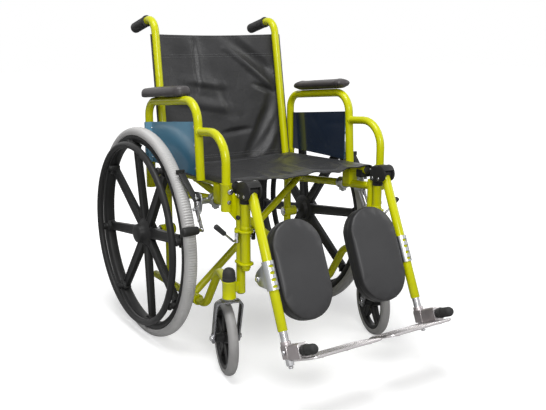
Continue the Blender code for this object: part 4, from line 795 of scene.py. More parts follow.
brace_a = brace_pieces(0.013)
other = brace_pieces(-0.013)
brace_b = reflect(other)
bpy.data.objects.remove(other)
fit(brace_a, "brace_to_left_rail", lime_coat, "brace_a", "lime_paint", "cross_brace_a")
fit(brace_b, "brace_to_right_rail", lime_coat, "brace_b", "lime_paint", "cross_brace_b")
crossing = at(0, BRACE_Y, (LOWER_RAIL_Z + seat_rail_z(BRACE_Y)) / 2)
bolt = turned(both_sides([(0, -0.030), (0.004, -0.030)]), crossing, (0, 1, 0), 14)
heads = [hex_head(crossing + Vector((0, side * 0.0238, 0)), (0, side, 0), 0.0088, 0.0062) for side in (-1, 1)]
spacer = turned(both_sides([(0.0045, -0.0022), (0.010, -0.0022)]), crossing, (0, 1, 0), 24, ring=True)
cross_bolt = join([bolt] + heads + [spacer])
fit(cross_bolt, "cross_bolt", chrome, "brace_a", "chrome", "brace_bolt")
for body, side in (("brace_a", 1), ("brace_b", -1)):
    rail_plugs = join([
        tube_plug(
            at(side * FRAME_HALF, y, seat_rail_z(y)),
            (0, way * cos(SEAT_SLOPE), -way * sin(SEAT_SLOPE)), 0.0114,
        )
        for y, way in ((RAIL_FRONT, -1), (RAIL_REAR, 1))
    ])
    fit(rail_plugs, body + "_rail_plugs", rubber, body, "black_rubber")
# Each seat rail lies in two moulded saddle clips, bolted on top of the frame's uprights.
clips = []
for y in (-0.374, -0.045):
    rail_z = seat_rail_z(y)
    outline = [(FRAME_HALF - 0.0165, rail_z - 0.021), (FRAME_HALF - 0.0165, rail_z - 0.001)]
    outline += [(x, z) for x, z in arc((FRAME_HALF, rail_z), 0.0126, 180, 360, 12)]
    outline += [(FRAME_HALF + 0.0165, rail_z - 0.001), (FRAME_HALF + 0.0165, rail_z - 0.021)]
    clips.append(cut_plate([at(x, y, z) for x, z in outline], (0, 0.022, 0), 0.0010))
fit_pair(join(clips), "rail_clips", nylon, "side", "black_plastic")


# The seat: a sling of coated upholstery cloth, doubled over at the rails and screwed down through them. It
# sags, ripples towards the front, and its hem is turned under and stitched.
# Vinyl-coated nylon, calendered: charcoal, dull, with a leather grain of about 1.5 mm that catches the light.
vinyl = new_finish("charcoal_vinyl_calendered", 0.36, gloss=0.32)
mottle(vinyl, ("#242425", "#323233"), drift=(7, 4))
tree = vinyl.node_tree
place = tree.nodes["Texture Coordinate"].outputs["Object"]
cells = add_node(tree, "TexVoronoi", {"Vector": place, "Scale": 650})
creases = add_node(tree, "TexNoise", {"Vector": place, "Scale": 160, "Detail": 3})
crinkles = add_node(tree, "TexNoise", {"Vector": place, "Scale": 38, "Detail": 5, "Distortion": 0.6})
deeper = add_node(tree, "Math", {0: crinkles.outputs[0], 1: 5.0}, operation="MULTIPLY")
relief = add_node(tree, "Math", {0: cells.outputs["Distance"], 1: creases.outputs[0]}, operation="ADD")
relief = add_node(tree, "Math", {0: relief.outputs[0], 1: deeper.outputs[0]}, operation="ADD")
add_node(
    tree, "Bump", {"Height": relief.outputs[0], "Strength": 0.45, "Distance": 0.0005},
    tree.nodes["Principled BSDF"].inputs["Normal"],
)

CLOTH = 0.0026
WRAP = 0.0127
COLUMNS = 132
WRAP_SHARE = 3 / 22


def sling_mesh(rows, point_of):
    """A fine sheet whose points are given by how far across and along they lie."""
    bpy.ops.object.select_all(action="DESELECT")
    bpy.ops.mesh.primitive_grid_add(x_subdivisions=COLUMNS, y_subdivisions=rows, size=1)
    piece = bpy.context.active_object
    for point in piece.data.vertices:
        point.co = point_of(point.co.x + 0.5, point.co.y + 0.5)
    return piece


def apply_modifier(piece, kind, **settings):
    """Puts a modifier on the piece and applies it."""
    choose(piece)
    added = piece.modifiers.new(kind, kind)
    for name, value in settings.items():
        setattr(added, name, value)
    bpy.ops.object.modifier_apply(modifier=added.name)


def thicken(piece, thick, offset, sharp=40):
    """Gives the sheet its thickness: on its outer side with offset 1, or half on each side with offset 0."""
    apply_modifier(piece, "SOLIDIFY", thickness=thick, offset=offset)
    bpy.ops.object.mode_set(mode="EDIT")
    return close_mesh(piece, sharp)


def crease(point, start, end, width, depth):
    """How far a fold along a line lifts the cloth at a point of the sheet."""
    run = end - start
    share = max(0.0, min(1.0, (point - start).dot(run) / run.length_squared))
    gap = (point - start - run * share).length / width
    fade = sin(pi * (0.12 + 0.76 * share))
    return depth * fade * (1 - gap * gap) ** 2 if gap < 1 else 0.0


SEAT_FOLDS = (
    ((0.30, 0.00), (0.38, 0.45), 0.035, 0.0035),
    ((0.44, 0.00), (0.47, 0.35), 0.030, -0.0030),
    ((0.58, 0.02), (0.62, 0.55), 0.040, 0.0030),
    ((0.72, 0.00), (0.80, 0.30), 0.035, 0.0040),
    ((0.20, 0.55), (0.45, 0.85), 0.040, 0.0025),
    ((0.60, 0.70), (0.85, 0.92), 0.035, 0.0025),
)


def seat_point(across, along):
    front = RAIL_FRONT - 0.008
    rear = RAIL_REAR + 0.008
    y = front + (rear - front) * along
    side = 1 if across > 0.5 else -1
    share = min(across, 1 - across)
    if share < WRAP_SHARE:
        angle = radians(10 + 80 * share / WRAP_SHARE)
        return at(side * (FRAME_HALF + WRAP * cos(angle)), y, seat_rail_z(y) + WRAP * sin(angle))
    inward = (share - WRAP_SHARE) / (0.5 - WRAP_SHARE)
    ease = min(1.0, 5 * inward)
    sag = (0.004 + 0.005 * sin(pi * along)) * sin(radians(90) * inward)
    ripple = 0.003 * sin(5 * pi * across) * sin(pi * inward) * (1 - along)
    hem = 0.0020 * max(0.0, 1 - along / 0.06) * min(1.0, max(0.0, 6 * inward - 0.6))
    spot = Vector((across, along))
    folds = sum(crease(spot, Vector(a), Vector(b), width, depth) for a, b, width, depth in SEAT_FOLDS)
    slack = 0.0022 * noise.noise(Vector((across * 9, along * 7, 3.1)))
    slack += 0.0012 * noise.noise(Vector((across * 24, along * 20, 5.2)))
    front_wave = (0.0026 * sin(26 * across + 0.6) + 0.0018 * sin(61 * across)) * max(0.0, 1 - along / 0.12)
    height = seat_rail_z(y) + WRAP - sag + ripple - hem + ease * (1.6 * folds + slack + front_wave)
    return at(side * FRAME_HALF * (1 - inward), y, height)


seat = sling_mesh(72, seat_point)


def stitch_run(point_of, lift):
    """A row of stitches along a line of the sheet, each given by where its thread starts and ends."""
    pitch = (SEAM_TO - SEAM_FROM) / STITCHES
    stitches = []
    for number in range(STITCHES):
        start, out = point_of(SEAM_FROM + pitch * number)
        end = point_of(SEAM_FROM + pitch * (number + 0.72))[0]
        stitches.append((start + out * lift, end + out * lift))
    return stitches


def sew(name, stitches, body, slot):
    """All the stitches as one piece: a thin capsule of thread is modelled once and copied to each place."""
    first = turned([(0, -0.5), (0.7, -0.35), (1, 0), (0.7, 0.35), (0, 0.5)], (0, 0, 0), UP, 6)
    made = []
    for start, end in stitches:
        way = end - start
        copy = first.copy()
        copy.data = first.data.copy()
        bpy.context.scene.collection.objects.link(copy)
        turn = way.to_track_quat("Z", "Y").to_matrix().to_4x4()
        size = Matrix.Diagonal((THREAD, THREAD, way.length, 1))
        copy.data.transform(Matrix.Translation((start + end) / 2) @ turn @ size)
        made.append(copy)
    bpy.data.objects.remove(first)
    return fit(join(made), name, thread, body, slot)


# Bonded polyester thread, twisted and waxed: dark grey, with a dull shine that picks the seams out.
thread = new_finish("grey_polyester_thread", 0.5)
mottle(thread, ("#4c4c4e", "#6e6e70"), drift=(500, 2))
THREAD = 0.0005
SEAM_FROM = 0.14
SEAM_TO = 0.86
STITCHES = 96


def on_seat(across, along):
    """A point of the seat's upper face and which way is up from it."""
    spot = seat_point(across, along)
    right = seat_point(across + 0.004, along) - spot
    ahead = seat_point(across, along + 0.004) - spot
    return spot, right.cross(ahead).normalized()


seams = []
for along in (0.055, 0.075, 0.945):
    seams += stitch_run(lambda share: on_seat(share, along), CLOTH + 0.0002)
seat_seams = sew("seat_seams", seams, "right_side", "black_vinyl")
thicken(seat, CLOTH, 1, 60)
fit(seat, "seat_upholstery", vinyl, "right_side", "black_vinyl", "seat_sling")
for piece in (seat, seat_seams):
    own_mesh(piece)


# The back: the same cloth, wrapped round behind both canes and screwed there, with a hem at its top, a seam a
# third of the way down where the lower panel begins, and long pulls in the cloth at the lower right.
BACK_LOW = 0.483
BACK_HIGH = 0.866
BACK_FOLDS = (
    ((0.365, 0.97), (0.372, 0.55), 0.016, -0.0030),
    ((0.392, 0.97), (0.400, 0.60), 0.014, 0.0014),
    ((0.58, 0.98), (0.90, 0.62), 0.060, -0.0060),
    ((0.56, 0.90), (0.88, 0.52), 0.035, 0.0045),
    ((0.72, 0.60), (0.86, 0.52), 0.030, -0.0035),
    ((0.83, 0.50), (0.66, 0.02), 0.055, -0.0062),
    ((0.90, 0.40), (0.76, 0.04), 0.045, 0.0030),
    ((0.84, 0.30), (0.72, 0.06), 0.040, -0.0038),
    ((0.52, 0.22), (0.66, 0.24), 0.035, -0.0045),
    ((0.30, 0.66), (0.52, 0.60), 0.050, 0.0030),
    ((0.22, 0.52), (0.60, 0.40), 0.060, 0.0030),
    ((0.50, 0.62), (0.58, 0.34), 0.040, -0.0030),
)


def back_point(across, along):
    z = BACK_LOW + (BACK_HIGH - BACK_LOW) * along
    side = 1 if across > 0.5 else -1
    share = min(across, 1 - across)
    if share < WRAP_SHARE:
        angle = radians(100 * share / WRAP_SHARE - 10)
        return at(side * (cane_x(z) + WRAP * cos(angle)), cane_y(z) + WRAP * sin(angle), z)
    inward = (share - WRAP_SHARE) / (0.5 - WRAP_SHARE)
    ease = min(1.0, 6 * inward)
    belly = 0.012 * sin(radians(90) * inward)
    wave = 0.003 * sin(7 * pi * across + 4 * along) * sin(pi * inward)
    spot = Vector((across, along))
    folds = sum(crease(spot, Vector(a), Vector(b), width, depth) for a, b, width, depth in BACK_FOLDS)
    slack = 0.0030 * noise.noise(Vector((across * 7, along * 7, 7.7)))
    top_dip = -0.004 * sin(pi * inward / 2) * max(0.0, (along - 0.80) / 0.20)
    y = cane_y(z) + WRAP + belly + wave - ease * (1.7 * folds + slack)
    return at(side * cane_x(z) * (1 - inward), y, z + top_dip)


def on_back(across, along):
    """A point of the back's front face and which way is forward from it."""
    spot = back_point(across, along)
    right = back_point(across + 0.004, along) - spot
    up = back_point(across, along + 0.004) - spot
    return spot, right.cross(up).normalized()


back = sling_mesh(96, back_point)
seams = []
for along in (0.978, 0.846, 0.828, 0.060, 0.042):
    seams += stitch_run(lambda share: on_back(share, along), 0.0003)
back_seams = sew("back_seams", seams, "right_side", "black_vinyl")
thicken(back, -CLOTH, 1, 60)
fit(back, "back_upholstery", vinyl, "right_side", "black_vinyl", "back_sling")
for piece in (back, back_seams):
    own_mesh(piece)


# The desk-length arms: a hoop of painted tube with a lower hoop in front, which lift out of the two sockets.
ARM_REAR = 0.037
ARM_FRONT = -0.403
ARM_TILT = radians(5.1)
DESK_TUBE = 0.0110


def arm_top_z(y):
    return 0.681 - y * tan(ARM_TILT)


def arm_leg_y(z):
    return -0.271 + 0.013 * (z - 0.499) / (arm_top_z(-0.258) - 0.499)


hoop = bent_tube(
    [
        at(ARM_HALF, ARM_REAR, 0.442), at(ARM_HALF, ARM_REAR, arm_top_z(ARM_REAR)),
        at(ARM_HALF, -0.258, arm_top_z(-0.258)), at(ARM_HALF, -0.271, 0.499),
    ],
    (0.045, 0.055),
)
desk = bent_tube(
    [at(ARM_HALF, arm_leg_y(0.624), 0.624), at(ARM_HALF, ARM_FRONT, 0.636), at(ARM_HALF, ARM_FRONT, 0.455)],
    (0.070,), DESK_TUBE,
)
joint_bead = weld_bead(at(ARM_HALF, arm_leg_y(0.624) - 0.0112, 0.6245), (0, 1, -0.08), DESK_TUBE)
fit_pair(join([hoop, desk, joint_bead]), "arm_hoop", lime_coat, "arm", "lime_paint", "arm_frame")
leg_end = turned(
    [
        (0, 0.0030), (0.008, 0.0028), (0.0106, 0.0012), (0.0114, 0), (0.0095, -0.001), (0.0095, -0.010),
        (0, -0.010),
    ],
    at(ARM_HALF, -0.271, 0.499), (0, -0.06, -1), 20,
)
fit_pair(leg_end, "arm_leg_plug", rubber, "arm", "black_rubber")
# The sockets' fastenings: a thumbscrew that locks the arm, and the screw through its front post.
knob = turned(
    [
        (0, -0.016), (0.003, -0.016), (0.003, 0), (0.0062, 0.0008), (0.0070, 0.0030), (0.0070, 0.0080),
        (0.0058, 0.0098), (0, 0.0102),
    ],
    at(ARM_HALF - 0.0005, -0.4175, 0.494), (0, -1, 0), 20,
)
screw = hex_head(at(ARM_HALF, -0.4168, 0.467), (0, -1, 0), 0.0042, 0.0032)
fit_pair(join([knob, screw]), "socket_screws", chrome, "side", "chrome")


# The armrests: pads of self-skinning polyurethane foam on a steel insert, round at the ends and crowned.
# Self-skinned foam, moulded: dark grey, softly shining, with a fine leather grain from the mould.
foam_skin = new_finish("grey_foam_self_skinned", 0.42, gloss=0.28)
mottle(foam_skin, ("#322f30", "#423f40"), drift=(16, 4))
tree = foam_skin.node_tree
place = tree.nodes["Texture Coordinate"].outputs["Object"]
cells = add_node(tree, "TexVoronoi", {"Vector": place, "Scale": 800})
add_node(
    tree, "Bump", {"Height": cells.outputs["Distance"], "Strength": 0.22, "Distance": 0.0003},
    tree.nodes["Principled BSDF"].inputs["Normal"],
)


def stuff(pad, cell, pressure, most, held):
    """Blows the closed shape up as cloth, with some points held and none moved further than the most."""
    apply_modifier(pad, "REMESH", mode="VOXEL", voxel_size=cell)
    rest = [point.co.copy() for point in pad.data.vertices]
    pins = pad.vertex_groups.new(name="held")
    pins.add([point.index for point in pad.data.vertices if held(point.co)], 1.0, "REPLACE")
    cloth = pad.modifiers.new("cloth", "CLOTH")
    cloth.settings.vertex_group_mass = pins.name
    cloth.settings.use_pressure = True
    cloth.settings.uniform_pressure_force = pressure
    cloth.settings.effector_weights.gravity = 0
    cloth.settings.tension_stiffness = 25
    cloth.settings.compression_stiffness = 25
    cloth.settings.bending_stiffness = 2
    for step in range(1, 21):
        bpy.context.scene.frame_set(step)
    bpy.ops.object.modifier_apply(modifier=cloth.name)
    bpy.context.scene.frame_set(1)
    pad.vertex_groups.clear()
    for point, home in zip(pad.data.vertices, rest):
        move = point.co - home
        if move.length > most:
            point.co = home + move.normalized() * most
    apply_modifier(pad, "SMOOTH", factor=0.5, iterations=3)
    apply_modifier(pad, "SUBSURF", levels=1, render_levels=1)
    bpy.ops.object.mode_set(mode="EDIT")
    return close_mesh(pad, 60)


def arm_pad(x, y, all_edges):
    """A block on the arm's top tube. Its upright or all edges are rounded broadly, then top and underside."""
    width, length, thick = 0.051, 0.238, 0.0262
    pad = start_piece(
        bpy.ops.mesh.primitive_cube_add, size=1, scale=(width, length, thick), location=(0, 0, thick / 2)
    )
    bpy.ops.mesh.select_mode(type="EDGE")
    if not all_edges:
        bpy.ops.mesh.select_all(action="DESELECT")
        bpy.ops.object.mode_set(mode="OBJECT")
        for edge in pad.data.edges:
            ends = [pad.data.vertices[i].co for i in edge.vertices]
            edge.select = abs(ends[0].z - ends[1].z) > thick / 2
        bpy.ops.object.mode_set(mode="EDIT")
    bpy.ops.mesh.bevel(offset=0.0215, segments=10, affect="EDGES")
    pick(pad, lambda point, normal: normal.z > 0.9)
    bpy.ops.mesh.bevel(offset=0.0135, segments=7, affect="EDGES", profile=0.55)
    pick(pad, lambda point, normal: normal.z < -0.9)
    bpy.ops.mesh.bevel(offset=0.003, segments=3, affect="EDGES")
    close_mesh(pad)
    pad.rotation_euler.x = -ARM_TILT
    pad.location = at(x, y, arm_top_z(y) + 0.0119 / cos(ARM_TILT))
    bpy.ops.object.transform_apply(location=True, rotation=True, scale=True)
    return stuff(pad, 0.0045, 3, 0.0016, lambda point: point.z < arm_top_z(point.y - AXLE_LINE) + 0.0155)


# The left pad is rounded all over, so that its ends taper. The right one keeps full, round ends.
for side, x, y, all_edges in (("left_", ARM_HALF, -0.125, True), ("right_", -ARM_HALF, -0.073, False)):
    pad = arm_pad(x, y, all_edges)
    fit(pad, side + "armrest_pad", foam_skin, side + "arm", "black_vinyl", side + "arm_pad")


# The clothes guards: sheets of glossy plastic, wrapped round the rear tube, riveted to the front one and cut
# off at a slope on top. Outside they are pale blue, painted darker towards the front and bottom as a painted
# reflection of the wheel, and inside nearly black, a painted reflection of the black back.
# Printed polycarbonate, cast glossy: colour lies behind a clear skin, so that it shines all over.
guard_blue_painted_reflection = new_finish("blue_guard_painted_wheel_reflection", 0.22, coat=(0.4, 0.03))
# The nearly black inside is a painted reflection of the black back upholstery.
guard_inside_painted_reflection = new_finish("navy_guard_painted_reflection", 0.14, coat=(0.4, 0.03))
mottle(guard_inside_painted_reflection, ("#16202f", "#212d40"), drift=(8, 2), grain=(18, 2), relief=(0.08, 0.002))
# Outside, the blue is painted darker towards the front and bottom and lighter towards the top and back: a
# painted reflection of the dark wheel and tyre.
tree = guard_blue_painted_reflection.node_tree
shader = tree.nodes["Principled BSDF"]
place = add_node(tree, "TexCoord", {}).outputs["Object"]
parts = add_node(tree, "SeparateXYZ", {"Vector": place})
painted_reflection_height = add_node(
    tree, "Math", {0: parts.outputs["Y"], 1: 0.3, 2: parts.outputs["Z"]}, operation="MULTIPLY_ADD"
)
painted_reflection_ramp = add_node(
    tree, "MapRange", {"Value": painted_reflection_height.outputs[0], "From Min": 0.525, "From Max": 0.655},
    interpolation_type="SMOOTHSTEP",
)
add_node(
    tree, "Mix", {0: painted_reflection_ramp.outputs[0], 6: linear("#3a667f"), 7: linear("#6394af")},
    shader.inputs["Base Color"], data_type="RGBA",
)
sag = add_node(tree, "TexNoise", {"Vector": place, "Scale": 18, "Detail": 2})
add_node(
    tree, "Bump", {"Height": sag.outputs[0], "Strength": 0.10, "Distance": 0.002}, shader.inputs["Normal"]
)

WALL = 0.0024
wrap = TUBE + 0.0019
run = [(ARM_REAR + wrap * cos(radians(a)), ARM_HALF + wrap * sin(radians(a))) for a in range(20, 151, 10)]
run += [(ARM_REAR - wrap - 0.006, ARM_HALF)]
run += [(ARM_REAR - wrap - 0.006 - 0.262 * i / 12, ARM_HALF) for i in range(1, 13)]
guard = draw_line([at(x, y, 0.5065) for y, x in run])
for lift in range(8):
    bpy.ops.mesh.extrude_region_move(TRANSFORM_OT_translate={"value": (0, 0, 0.021)})
bpy.ops.mesh.select_all(action="SELECT")
bpy.ops.mesh.bisect(plane_co=at(0, 0, 0.6235), plane_no=(0, 0.0985, 1), clear_outer=True)
bpy.ops.mesh.select_all(action="SELECT")
bpy.ops.mesh.bisect(
    plane_co=at(0, arm_leg_y(0.56) + TUBE + 0.0013, 0.56), plane_no=(0, -1, 0.065), clear_outer=True
)
bpy.ops.mesh.select_all(action="SELECT")
bpy.ops.mesh.remove_doubles(threshold=0.000002)
bpy.ops.object.mode_set(mode="OBJECT")
thicken(guard, WALL, 0)
for piece in fit_pair(guard, "clothes_guard", guard_blue_painted_reflection, "arm", "blue_panel", "side_panel"):
    piece.data.materials.append(guard_inside_painted_reflection)
    # Faces that look in towards the seat take the nearly black inside, the painted reflection of the back.
    for face in piece.data.polygons:
        inwards = face.normal.x if face.center.x < 0 else -face.normal.x
        face.material_index = 1 if inwards > 0.35 else 0
rivets = [
    turned(
        [(0, 0.0016), (0.0024, 0.0014), (0.0038, 0.0006), (0.0040, 0), (0, 0)],
        at(ARM_HALF + 0.0011, y, z), ACROSS, 14,
    )
    for y, z in ((-0.246, 0.525), (-0.243, 0.585), (-0.240, 0.633), (0.020, 0.520), (0.020, 0.605))
]
fit_pair(join(rivets), "guard_rivets", chrome, "arm", "chrome")


# The push-to-lock brakes: a plate clamped to the upper rail carries a lever and, through a curved toggle, a
# black shoe bar that swings back and presses its foot against the tyre.
BRAKE_RAIL_Y = -0.284
rail_z = upper_rail_z(BRAKE_RAIL_Y)
clamp = turned(
    both_sides([
        (0.0118, -0.0130), (0.0157, -0.0130), (0.0165, -0.0122), (0.0165, -0.0012), (0.0160, -0.0006),
    ]),
    at(FRAME_HALF, BRAKE_RAIL_Y, rail_z), (0, 1, -0.0227), 32, ring=True,
)
ears = block(at(FRAME_HALF - 0.006, -0.294, rail_z - 0.0225), at(FRAME_HALF + 0.006, -0.274, rail_z - 0.0145))
clamp_screw = hex_head(at(FRAME_HALF, BRAKE_RAIL_Y, rail_z - 0.0222), (0, 0, -1), 0.0045, 0.0036)
reach = block(at(FRAME_HALF + 0.0145, -0.294, rail_z - 0.006), at(0.2662, -0.274, rail_z + 0.006), 0.0012)
reach_screws = [
    turned(
        [(0, 0.0022), (0.0030, 0.0018), (0.0040, 0.0006), (0.0040, 0), (0, 0)],
        at(x, BRAKE_RAIL_Y, rail_z + 0.0059), UP, 16,
    )
    for x in (0.236, 0.256)
]
# Aluminium, cast and tumbled: pale grey, satin, with a fine uneven skin.
cast_metal = new_finish("satin_aluminium_cast", 0.36, 1.0)
mottle(cast_metal, ("#a2a4a6", "#bfc1c2"), drift=(30, 4), grain=(700, 3), relief=(0.14, 0.0002))
LEVER_PIVOT = (-0.288, 0.428)
SHOE_PIVOT = (-0.300, 0.458)
SHOE_TIP = (-0.233, 0.520)
PLATE_X = 0.266
plate_line = [
    (-0.302, 0.417), (-0.280, 0.417), (-0.270, 0.428), (-0.268, 0.452), (-0.272, 0.470), (-0.290, 0.474),
    (-0.309, 0.470), (-0.314, 0.455), (-0.310, 0.430),
]
brake_plate = cut_plate([at(PLATE_X, y, z) for y, z in plate_line], (0.003, 0, 0))
pins = []
for y, z in (LEVER_PIVOT, SHOE_PIVOT):
    for profile, sides in (
        ([(0, -0.0055), (0.0033, -0.0055), (0.0035, 0), (0.0035, 0.0088), (0, 0.0088)], 16),
        ([(0.0035, 0.0082), (0.0052, 0.0082), (0.0056, 0.0088), (0.0044, 0.0106), (0, 0.0110)], 20),
    ):
        pins.append(turned(profile, at(PLATE_X + 0.003, y, z), ACROSS, sides))
fit_pair(
    join([clamp, ears, clamp_screw, reach, brake_plate] + reach_screws + pins),
    "brake_mount", cast_metal, "side", "cast_aluminium", "brake_base",
)


def bar_outline(start, end, half, steps=10):
    """The outline of a flat bar with round ends between two points of a plane."""
    way = atan2(end[1] - start[1], end[0] - start[0]) * 180 / pi
    return arc(end, half, way - 90, way + 90, steps) + arc(start, half, way + 90, way + 270, steps)


def flat_bar(outline, x, thick, bevel=0.0006):
    """A bar cut from plate, that stands upright at a distance from the middle plane."""
    return cut_plate([at(x, y, z) for y, z in outline], (thick, 0, 0), bevel)


GRIP = (-0.317, 0.380)
lever_bar = flat_bar(bar_outline(LEVER_PIVOT, GRIP, 0.0070), PLATE_X + 0.0038, 0.0040)
lever_rod = turned(
    [(0, -0.002), (0.0050, -0.002), (0.0050, 0.016), (0, 0.016)], at(PLATE_X + 0.0060, *GRIP), ACROSS, 20
)
LINK_FOOT = (-0.306, 0.400)
link_head = (SHOE_PIVOT[0] + 0.010, SHOE_PIVOT[1] + 0.010)
toggle = []
for along in (0.0, 0.25, 0.5, 0.75, 1.0):
    bow = 0.0075 * sin(pi * along)
    toggle.append((
        LINK_FOOT[0] + (link_head[0] - LINK_FOOT[0]) * along - bow,
        LINK_FOOT[1] + (link_head[1] - LINK_FOOT[1]) * along + bow * 0.4,
    ))
toggle_line = [(y + 0.0042, z - 0.0020) for y, z in toggle]
toggle_line += [(y - 0.0042, z + 0.0020) for y, z in toggle[::-1]]
link = flat_bar(toggle_line, PLATE_X + 0.0085, 0.0022, 0.0004)
fit_pair(join([lever_bar, lever_rod, link]), "brake_lever_bar", chrome, "brake", "chrome", "brake_lever")
grip = turned(
    [
        (0, 0.0480), (0.0070, 0.0476), (0.0102, 0.0458), (0.0118, 0.0425), (0.0123, 0.0370), (0.0120, 0.0240),
        (0.0112, 0.0120), (0.0108, 0.0040), (0.0096, 0.0008), (0.0072, 0), (0, 0),
    ],
    at(0.2810, *GRIP), ACROSS, 32,
)
fit_pair(grip, "brake_grip", nylon, "brake", "black_plastic")
along_shoe = Vector((0, SHOE_TIP[0] - SHOE_PIVOT[0], SHOE_TIP[1] - SHOE_PIVOT[1])).normalized()
off_shoe = Vector((0, -along_shoe.z, along_shoe.y))
shoe_start = at(0, *SHOE_PIVOT) - along_shoe * 0.007
shoe_end = at(0, *SHOE_TIP)
shoe_line = [
    end + Vector((x, 0, 0))
    for end, x in ((shoe_start, 0.2700), (shoe_start, 0.2860), (shoe_end, 0.2960), (shoe_end, 0.2770))
]
shoe_bar = cut_plate(shoe_line, off_shoe * 0.0042, 0.0010)
shoe_lug = flat_bar(bar_outline(SHOE_PIVOT, (-0.290, 0.467), 0.0075), PLATE_X + 0.0042, 0.0040)
shoe_foot = block(at(0.2760, -0.240, 0.513), at(0.3000, -0.234, 0.525), 0.0016)
shoe_bolt = hex_head(at(0.2850, -0.2375, 0.5140), (0, -0.73, -0.68), 0.0048, 0.0034)
shoe = join([shoe_bar, shoe_lug, shoe_foot, shoe_bolt])
fit_pair(shoe, "brake_shoe_bar", nylon, "shoe", "black_plastic", "brake_shoe")


# The swing-away legrests: a painted hanger pipe turns on the frame's front post, and below its knuckle the
# leg tube slopes forward at 23.8 degrees.
LEG_SLOPE = radians(23.8)
HANG_Y = -0.464
HANG_Z = 0.499


def on_leg(x, forth, drop):
    """A point of the leg, as far in front of the tube's line and as far down it as named."""
    return at(
        x, HANG_Y - forth * cos(LEG_SLOPE) - drop * sin(LEG_SLOPE),
        HANG_Z + forth * sin(LEG_SLOPE) - drop * cos(LEG_SLOPE),
    )


def leg_way(forth, drop):
    """A direction of the leg: so far forward and so far down along it."""
    return (on_leg(0, forth, drop) - on_leg(0, 0, 0)).normalized()


DOWN_LEG = leg_way(0, 1)
FORTH_LEG = leg_way(1, 0)
pipe = turned(
    [
        (0, 0.2980), (0.0105, 0.2980), (0.0120, 0.2995), (0.0120, 0.4560), (0.0124, 0.4590), (0.0124, 0.4785),
        (0.0118, 0.4810), (0.0118, 0.4900), (0.0112, 0.4960), (0.0070, 0.4970), (0, 0.4970),
    ],
    at(FRAME_HALF, HANGER_Y, 0), UP, 32,
)
collar = turned(
    [
        (0.0118, 0.3968), (0.0124, 0.3968), (0.0128, 0.3974), (0.0128, 0.4062), (0.0124, 0.4068),
        (0.0118, 0.4068),
    ],
    at(FRAME_HALF, HANGER_Y, 0), UP, 32, ring=True,
)
foot = turned(
    [(0, 0.2930), (0.0086, 0.2930), (0.0100, 0.2944), (0.0100, 0.2982), (0, 0.2982)],
    at(FRAME_HALF, HANGER_Y, 0), UP, 28,
)
fit_pair(join([pipe, collar, foot]), "hanger_pipe", lime_coat, "legrest", "lime_paint", "legrest_hanger")

# The knuckle: a moulded cover, in two halves screwed together, round the hanger's top and the leg's head.
outline = [(-0.4235, 0.4775), (-0.4235, 0.5060), (-0.4265, 0.5130), (-0.4320, 0.5180), (-0.4400, 0.5212)]
outline += [
    (HANG_Y + 0.0205 * cos(radians(a)), HANG_Z + (0.0250 if a < 180 else 0.0205) * sin(radians(a)))
    for a in range(60, 241, 12)
]
outline += [(-0.4600, 0.4775)]
inner = 0.0132
cheeks = [
    cut_plate([at(FRAME_HALF + side * 0.01625, y, z) for y, z in outline], (0.0193 - inner, 0, 0), 0.0029)
    for side in (-1, 1)
]
hood_line = [
    (HANG_Y + 0.0207 * cos(radians(a)), HANG_Z + 0.0252 * sin(radians(a))) for a in range(40, 150, 10)
] + [(HANG_Y - 0.0190, HANG_Z + 0.0128), (HANG_Y - 0.0122, HANG_Z + 0.0128)]
hood_line += [
    (HANG_Y + 0.0170 * cos(radians(a)), HANG_Z + 0.0170 * sin(radians(a))) for a in range(130, 39, -10)
]
hood = cut_plate([at(FRAME_HALF, y, z) for y, z in hood_line], (0.0330, 0, 0), 0.0006)
saddle = cut_plate(
    [at(FRAME_HALF, y, z) for y, z in outline[:5] + [(-0.4506, 0.5222), (-0.4506, 0.4775)]],
    (2 * inner + 0.002, 0, 0), 0.0006,
)
neck = turned(
    [(0.0120, 0.4640), (0.0139, 0.4640), (0.0145, 0.4648), (0.0145, 0.4790), (0.0120, 0.4790)],
    at(FRAME_HALF, HANGER_Y, 0), UP, 32, ring=True,
)
cover = join(cheeks + [hood, saddle, neck])
fit_pair(cover, "knuckle_cover", nylon, "legrest", "black_plastic", "pivot_cover")
screw_profile = [
    (0, 0.0004), (0.0014, 0.0003), (0.0015, 0.0014), (0.0036, 0.0013), (0.0042, 0.0006), (0.0042, 0), (0, 0),
]
knuckle_screws = [
    turned(screw_profile, at(FRAME_HALF + side * 0.0192, y, z), (side, 0, 0), 18)
    for y, z in ((-0.4345, 0.4855), (-0.4590, 0.4865)) for side in (-1, 1)
]
fit_pair(join(knuckle_screws), "knuckle_screws", chrome, "legrest", "chrome")
# The latch pin beside the hanger, on its inner side: a plated knob over a black sleeve.
LATCH_X = FRAME_HALF - 0.0220
knob_pin = turned(
    [(0, -0.001), (0.0030, -0.001), (0.0030, 0.0110), (0, 0.0110)],
    at(FRAME_HALF - 0.0115, HANGER_Y, 0.3800), (-1, 0, 0), 16,
)
knob = turned(
    [
        (0, 0.3862), (0.0052, 0.3862), (0.0074, 0.3880), (0.0078, 0.3905), (0.0070, 0.3935), (0.0044, 0.3952),
        (0, 0.3956),
    ],
    at(LATCH_X, HANGER_Y, 0), UP, 24,
)
fit_pair(join([knob_pin, knob]), "latch_knob", chrome, "legrest", "chrome")
sleeve = turned(
    [(0, 0.3700), (0.0046, 0.3700), (0.0054, 0.3708), (0.0054, 0.3858), (0.0048, 0.3868), (0, 0.3868)],
    at(LATCH_X, HANGER_Y, 0), UP, 24,
)
fit_pair(sleeve, "latch_sleeve", nylon, "legrest", "black_plastic")

